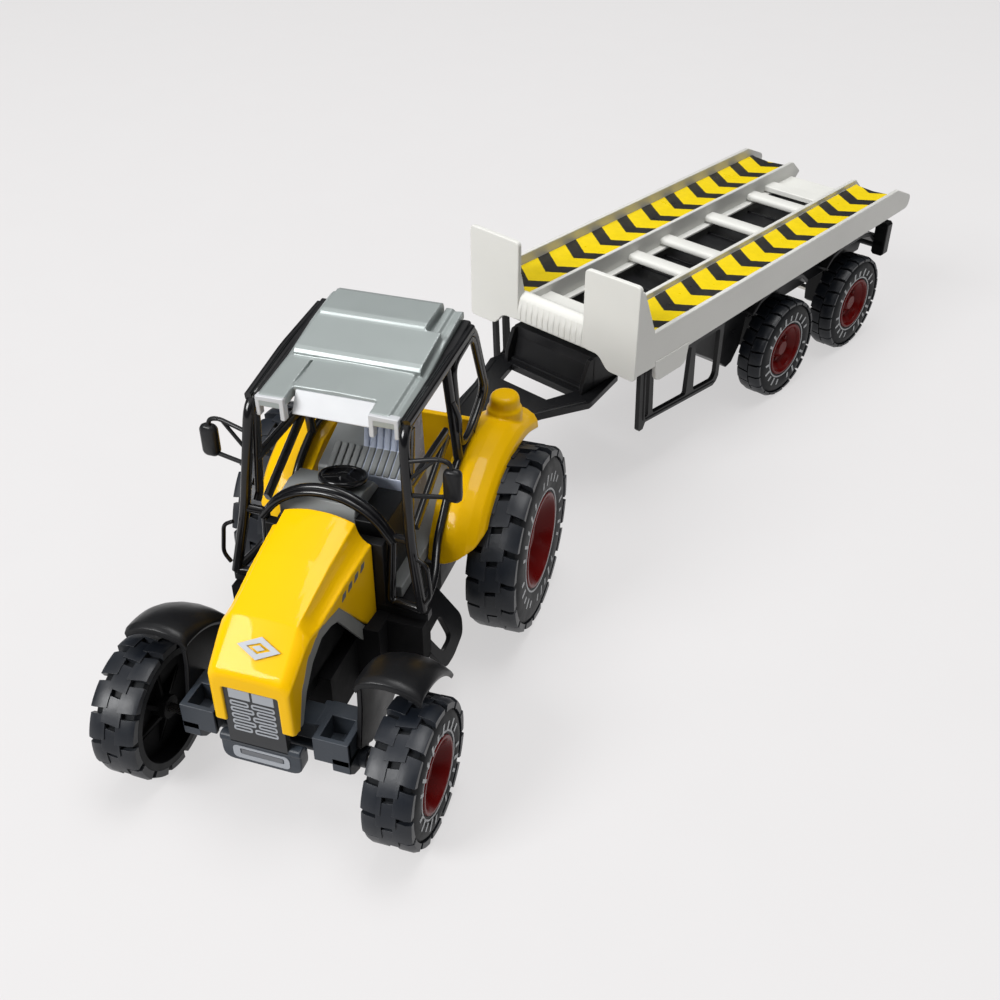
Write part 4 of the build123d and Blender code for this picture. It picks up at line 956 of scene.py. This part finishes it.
# ---- trailer
def trailer_deck():
    """Two channel runways with headboards, and the ledge and rungs between them."""
    b = Build()
    rail = [(-80.7, 39.6), (-80.7, 63.8), (-79, 64.4), (-78.4, 63.8), (-72.6, 50.2), (62.5, 50.2)]
    rail += rounded([(62.5, 50.2), (73.2, 45.6), (72.2, 41.4), (66, 41.3)], 2.4, 5, closed=False)[1:]
    b.plate("X", 28.6, 30, rail + [(-71.6, 39.4)])
    b.plate("X", 28.9, 30.25, [(-71.8, 41), (-71.4, 36.2), (-70.6, 35), (-69.2, 34.4), (-59.4, 34.4),
        (-57.6, 35), (-56.8, 36.2), (-56, 41)])
    b.plate("X", 11.7, 13, [(-79.6, 41.6), (-79.6, 48.7), (64.5, 48.7), (66, 48.2), (71, 44), (68, 41.6)])
    b.box(9.6, 12, -74, 60, 41.9, 42.8)
    b.box(11.8, 29.4, -80.4, 61, 45.72, 46.93)
    b.plate("Z", 45.7, 46.95, [(11.8, 61), (29.4, 61), (29.4, 66.4), (27.4, 65.2), (20.8, 64), (14, 65.2),
        (11.8, 66.4)])
    board = [(11.72, 65.8), (29.97, 66.1), (29.97, 38.3), (20.6, 38.4), (17.4, 42.2), (11.72, 42.4)]
    b.plate("Y", -80.92, -79.4, rounded(board, 1.5))
    b.plate("X", 11.7, 12.9, [(-80.6, 45), (-80.6, 58), (-79.2, 56), (-77.4, 48.4), (-77.4, 45)])
    b.mirror()
    ledge = [(-80.9, 42.2), (-80.9, 46), (-79.9, 49.6), (-77.6, 50.6), (-74.4, 48.4), (-73.6, 46.4),
        (-66, 46.4), (-66, 44.8), (-75.4, 44.8), (-79.3, 47), (-79.3, 42.2)]
    b.plate("X", -12.5, 12.5, rounded(ledge, 1.9))
    for k in range(12):
        x = -11 + 2 * k
        b.tube([(x, -80.75, 42.9), (x, -80.75, 46), (x, -79.7, 48.9)], 1.2, 0.8, corner=0.9)
    for y in (-27, -10.5, 14, 39):
        b.tube([(-12.3, y, 44.2), (12.3, y, 44.2)], 5.2, 2.2, round_to=0.4, side=(0, 1, 0))
    b.box(-12.5, 12.5, 47.6, 53.4, 43.2, 45)
    b.box(-12.5, 12.5, 52.4, 65.5, 42, 43.6)
    part("trailer_deck", b, "trailer", [GREY], "light_grey_paint", bevel=0.38, angle=34, segments=3)


def hazard_strips():
    outline = [(13.3, -79.2), (28.4, -79.2), (28.4, 65.4), (26.8, 64.5), (20.8, 63.4), (14.6, 64.5),
        (13.3, 65.4)]
    for side in SIDES:
        strip = Build().plate("Z", 46.96, 47.14, outline).on(side)
        node = "hazard_strip_" + hand(side)
        part(node, strip, "trailer", [STRIPS[side]], "hazard_print", bevel=0)


def trailer_frame():
    """Ladder frame with wheel covers, spring plates, arches over the tyres and a rear bumper."""
    b = Build()
    b.box(-10.5, 10.5, -67.6, 62, 28, 39.4)
    b.box(-21.8, 21.8, -67.4, 60, 36.6, 39.38)
    for s in SIDES:
        b.plate("X", s * 10, s * 21.8, [(-43.5, 38), (-42.8, 29.6), (-38.2, 26.7), (-30.6, 21.9),
            (-24.6, 17.8), (-20.5, 14.6), (-17.5, 15.4), (-14, 20), (-10, 38)])
        b.plate("X", s * 20.4, s * 21.8, [(-11, 37), (-11, 28), (58, 28), (60, 34), (60, 37)])
        for y in (0, 43.2):
            b.plate("X", s * 14, s * 20, [(y - 6, 37), (y - 4, 14), (y - 2, 12.6), (y + 2, 12.6), (y + 4, 14),
                (y + 6, 37)])
            b.plate("X", s * 21.6, s * 26.4, [(y - 15.5, 32), (y - 12, 35), (y - 5, 36.6), (y + 5, 36.6),
                (y + 12, 35), (y + 15.5, 32), (y + 16, 33.2), (y + 12, 36.4), (y + 5, 38.2), (y - 5, 38.2),
                (y - 12, 36.4), (y - 16, 33.2)])
    b.tube([(-29, 62.5, 31), (29, 62.5, 31)], 3.4, 4.6, side=(0, 1, 0))
    for s in SIDES:
        x0, x1 = sorted((s * 25, s * 29.6))
        b.plate("Y", 60.8, 64.2, [(x0, 27.6), (x0 + 0.8, 26.8), (x1 - 0.8, 26.8), (x1, 27.6), (x1, 38),
            (x1 - 0.8, 38.8), (x0 + 0.8, 38.8), (x0, 38)])
    b.box(-10.5, 10.5, 59, 62, 28.6, 36)
    for k in range(9):
        y = -60 + 12 * k
        b.box(-10.6, 10.6, y, y + 1, 39.2, 39.9)
    part("trailer_chassis", b, "trailer", [BLACK], "black_plastic", bevel=0.32)
    screw_heads("trailer_screws", "trailer", 28, (-50, 21.6, 52))


def drawbar():
    """Triangular drawbar with a window, an eye over the peg and the raised tray behind it."""
    eye = -HITCH_TO_AXLE
    b = Build()
    turns = [radians(a) for a in range(198, 343, 18)]
    nose = [(4.2 * cos(a), eye + 4.2 * sin(a)) for a in turns]
    outline = [(-12.6, -98)] + nose + [(12.6, -98), (18.6, -85), (18.4, -83.4), (15, -67.6), (-15, -67.6),
        (-18.4, -83.4), (-18.6, -85)]
    window = [(11.4, -83.4), (8.6, -91.6), (-8.6, -91.6), (-11.4, -83.4)]
    b.plate("Z", 27.4, 29.4, outline, [circle(1.7, 24, 0, eye), window])
    for s in SIDES:
        b.tube([(s * 3.6, eye + 5, 29.2), (s * 11.4, -98.6, 29.2), (s * 17.2, -85, 29.2)], 1.6, 1,
            side=(1, 0, 0), corner=1)
    b.box(-14.5, 14.5, -79, -67.6, 28.6, 39.4)
    b.box(-14.5, 14.5, -81.8, -78.8, 28.6, 30.4)
    b.turned([(2.2, 26), (3.9, 26), (4.1, 27.5), (2.2, 27.5)], 32, eye, closed=True)
    for s in SIDES:
        b.plate("X", s * 13.3, s * 14.5, [(-83.6, 28.6), (-83, 33), (-80.4, 39), (-78, 39.3), (-78, 28.6)])
    b.plate("X", -13.6, 13.6, [(-78.6, 30), (-80.6, 30), (-79.4, 35), (-78.6, 37.5)])
    part("drawbar", b, "trailer", [BLACK], "black_plastic", bevel=0.32)


def side_guard(side):
    """Frame with three windows below the deck's side."""
    b = Build()
    outline = [(-74.6, 38.4), (-73.7, 19), (-73.2, 18.4), (-71.6, 18.4), (-70.6, 20.3), (-36.8, 17.6),
        (-35.2, 18.4), (-34.2, 20), (-34, 38.4)]
    windows = (
        [(-73, 36.4), (-72.2, 22), (-69.6, 22), (-70.2, 36.4)],
        [(-68.4, 36.4), (-67.4, 21.9), (-51.2, 20.7), (-50.4, 36.4)],
        [(-48.2, 36.4), (-47.4, 20.5), (-37.2, 19.7), (-36, 21.4), (-36, 36.4)],
    )
    b.plate("X", 26.2, 27.6, outline, [rounded(window, 0.9, 3) for window in windows])
    b.tube([(27.5, -72.6, 37.6), (27.5, -71.6, 21.2), (27.5, -36.4, 18.6)], 0.7, 0.9, corner=1)
    b.box(21, 27.6, -52, -47, 37.2, 38.4)
    node = "side_guard_" + hand(side)
    part(node, b.on(side), "trailer", [BLACK], "black_plastic", bevel=0.28)


# ---- stage, light and camera
def floor():
    data = bpy.data.meshes.new("floor")
    half = 3
    data.from_pydata([(-half, -half, 0), (half, -half, 0), (half, half, 0), (-half, half, 0)], [],
        [(0, 1, 2, 3)])
    n = Nodes("floor_paper")
    paper = n.mix(n.noise(40, 3), (0.17, 0.167, 0.168), (0.18, 0.177, 0.178))
    n.fill(n.bsdf, {"Base Color": paper, "Normal": n.bump(n.noise(900, 2), 0.1, 0.00005)})
    n.fill(n.bsdf, {"Emission Color": (1, 0.985, 0.985, 1), "Emission Strength": 0.585})
    n.fill(n.bsdf, {"Roughness": 0.9, "Specular IOR Level": 0.1})
    data.materials.append(n.mat)
    new_object("floor", data)


def studio():
    """Pale sky above, dark below the horizon."""
    world = bpy.data.worlds.new("studio")
    scene.world = world
    world.use_nodes = True
    tree = world.node_tree
    back = tree.nodes["Background"]
    coord = tree.nodes.new("ShaderNodeTexCoord")
    split = tree.nodes.new("ShaderNodeSeparateXYZ")
    ramp = tree.nodes.new("ShaderNodeValToRGB")
    low, high = ramp.color_ramp.elements
    low.position, low.color = 0.5, (0.03, 0.031, 0.034, 1)
    high.position, high.color = 0.9, (1, 0.99, 0.985, 1)
    tree.links.new(coord.outputs["Generated"], split.inputs[0])
    tree.links.new(split.outputs["Z"], ramp.inputs["Fac"])
    tree.links.new(ramp.outputs["Color"], back.inputs["Color"])
    back.inputs["Strength"].default_value = 0.9


def point_at(obj, place, aim):
    """Puts a light or the camera at a place, looking at the aim."""
    obj.location = place
    obj.rotation_euler = (Vector(aim) - Vector(place)).to_track_quat("-Z", "Y").to_euler()


def softbox(name, place, aim, size, power):
    data = bpy.data.lights.new(name, "AREA")
    assign(data, shape="RECTANGLE", size=size[0], size_y=size[1], energy=power)
    point_at(new_object(name, data), place, aim)


def lights():
    softbox("top_box", place=(0.1, 0.1, 1.2), aim=(0, 0, 0), size=(0.7, 0.5), power=8.4)
    softbox("key_box", place=(-0.62, -0.92, 0.78), aim=(0, 0, 0.03), size=(0.5, 0.5), power=17.5)
    softbox("right_box", place=(1.1, -0.35, 0.55), aim=(0, 0, 0.03), size=(0.08, 0.5), power=0.4)


def camera():
    data = assign(bpy.data.cameras.new("camera"), lens=43.28, sensor_width=36, clip_start=0.01)
    scene.camera = new_object("camera", data)
    eye = ORIGIN + Vector((97.2, -221.4, 201.8)) * MM
    point_at(scene.camera, eye, ORIGIN + Vector((19.6, 16.5, 20)) * MM)
    scene.view_settings.view_transform = "Standard"


camera()
floor()
studio()
lights()
wheels()
hood()
hood_marks()
hood_bands()
hood_liner()
grille_face()
front_weight()
front_axle()
front_fender(LEFT)
front_fender(RIGHT)
rear_fenders()
cab_interior()
steering_wheel()
cab_frame()
mirror_piece(LEFT)
mirror_piece(RIGHT)
roof()
roof_front()
chassis()
hitch_and_screws()
trailer_deck()
hazard_strips()
trailer_frame()
drawbar()
side_guard(LEFT)
side_guard(RIGHT)
axles()
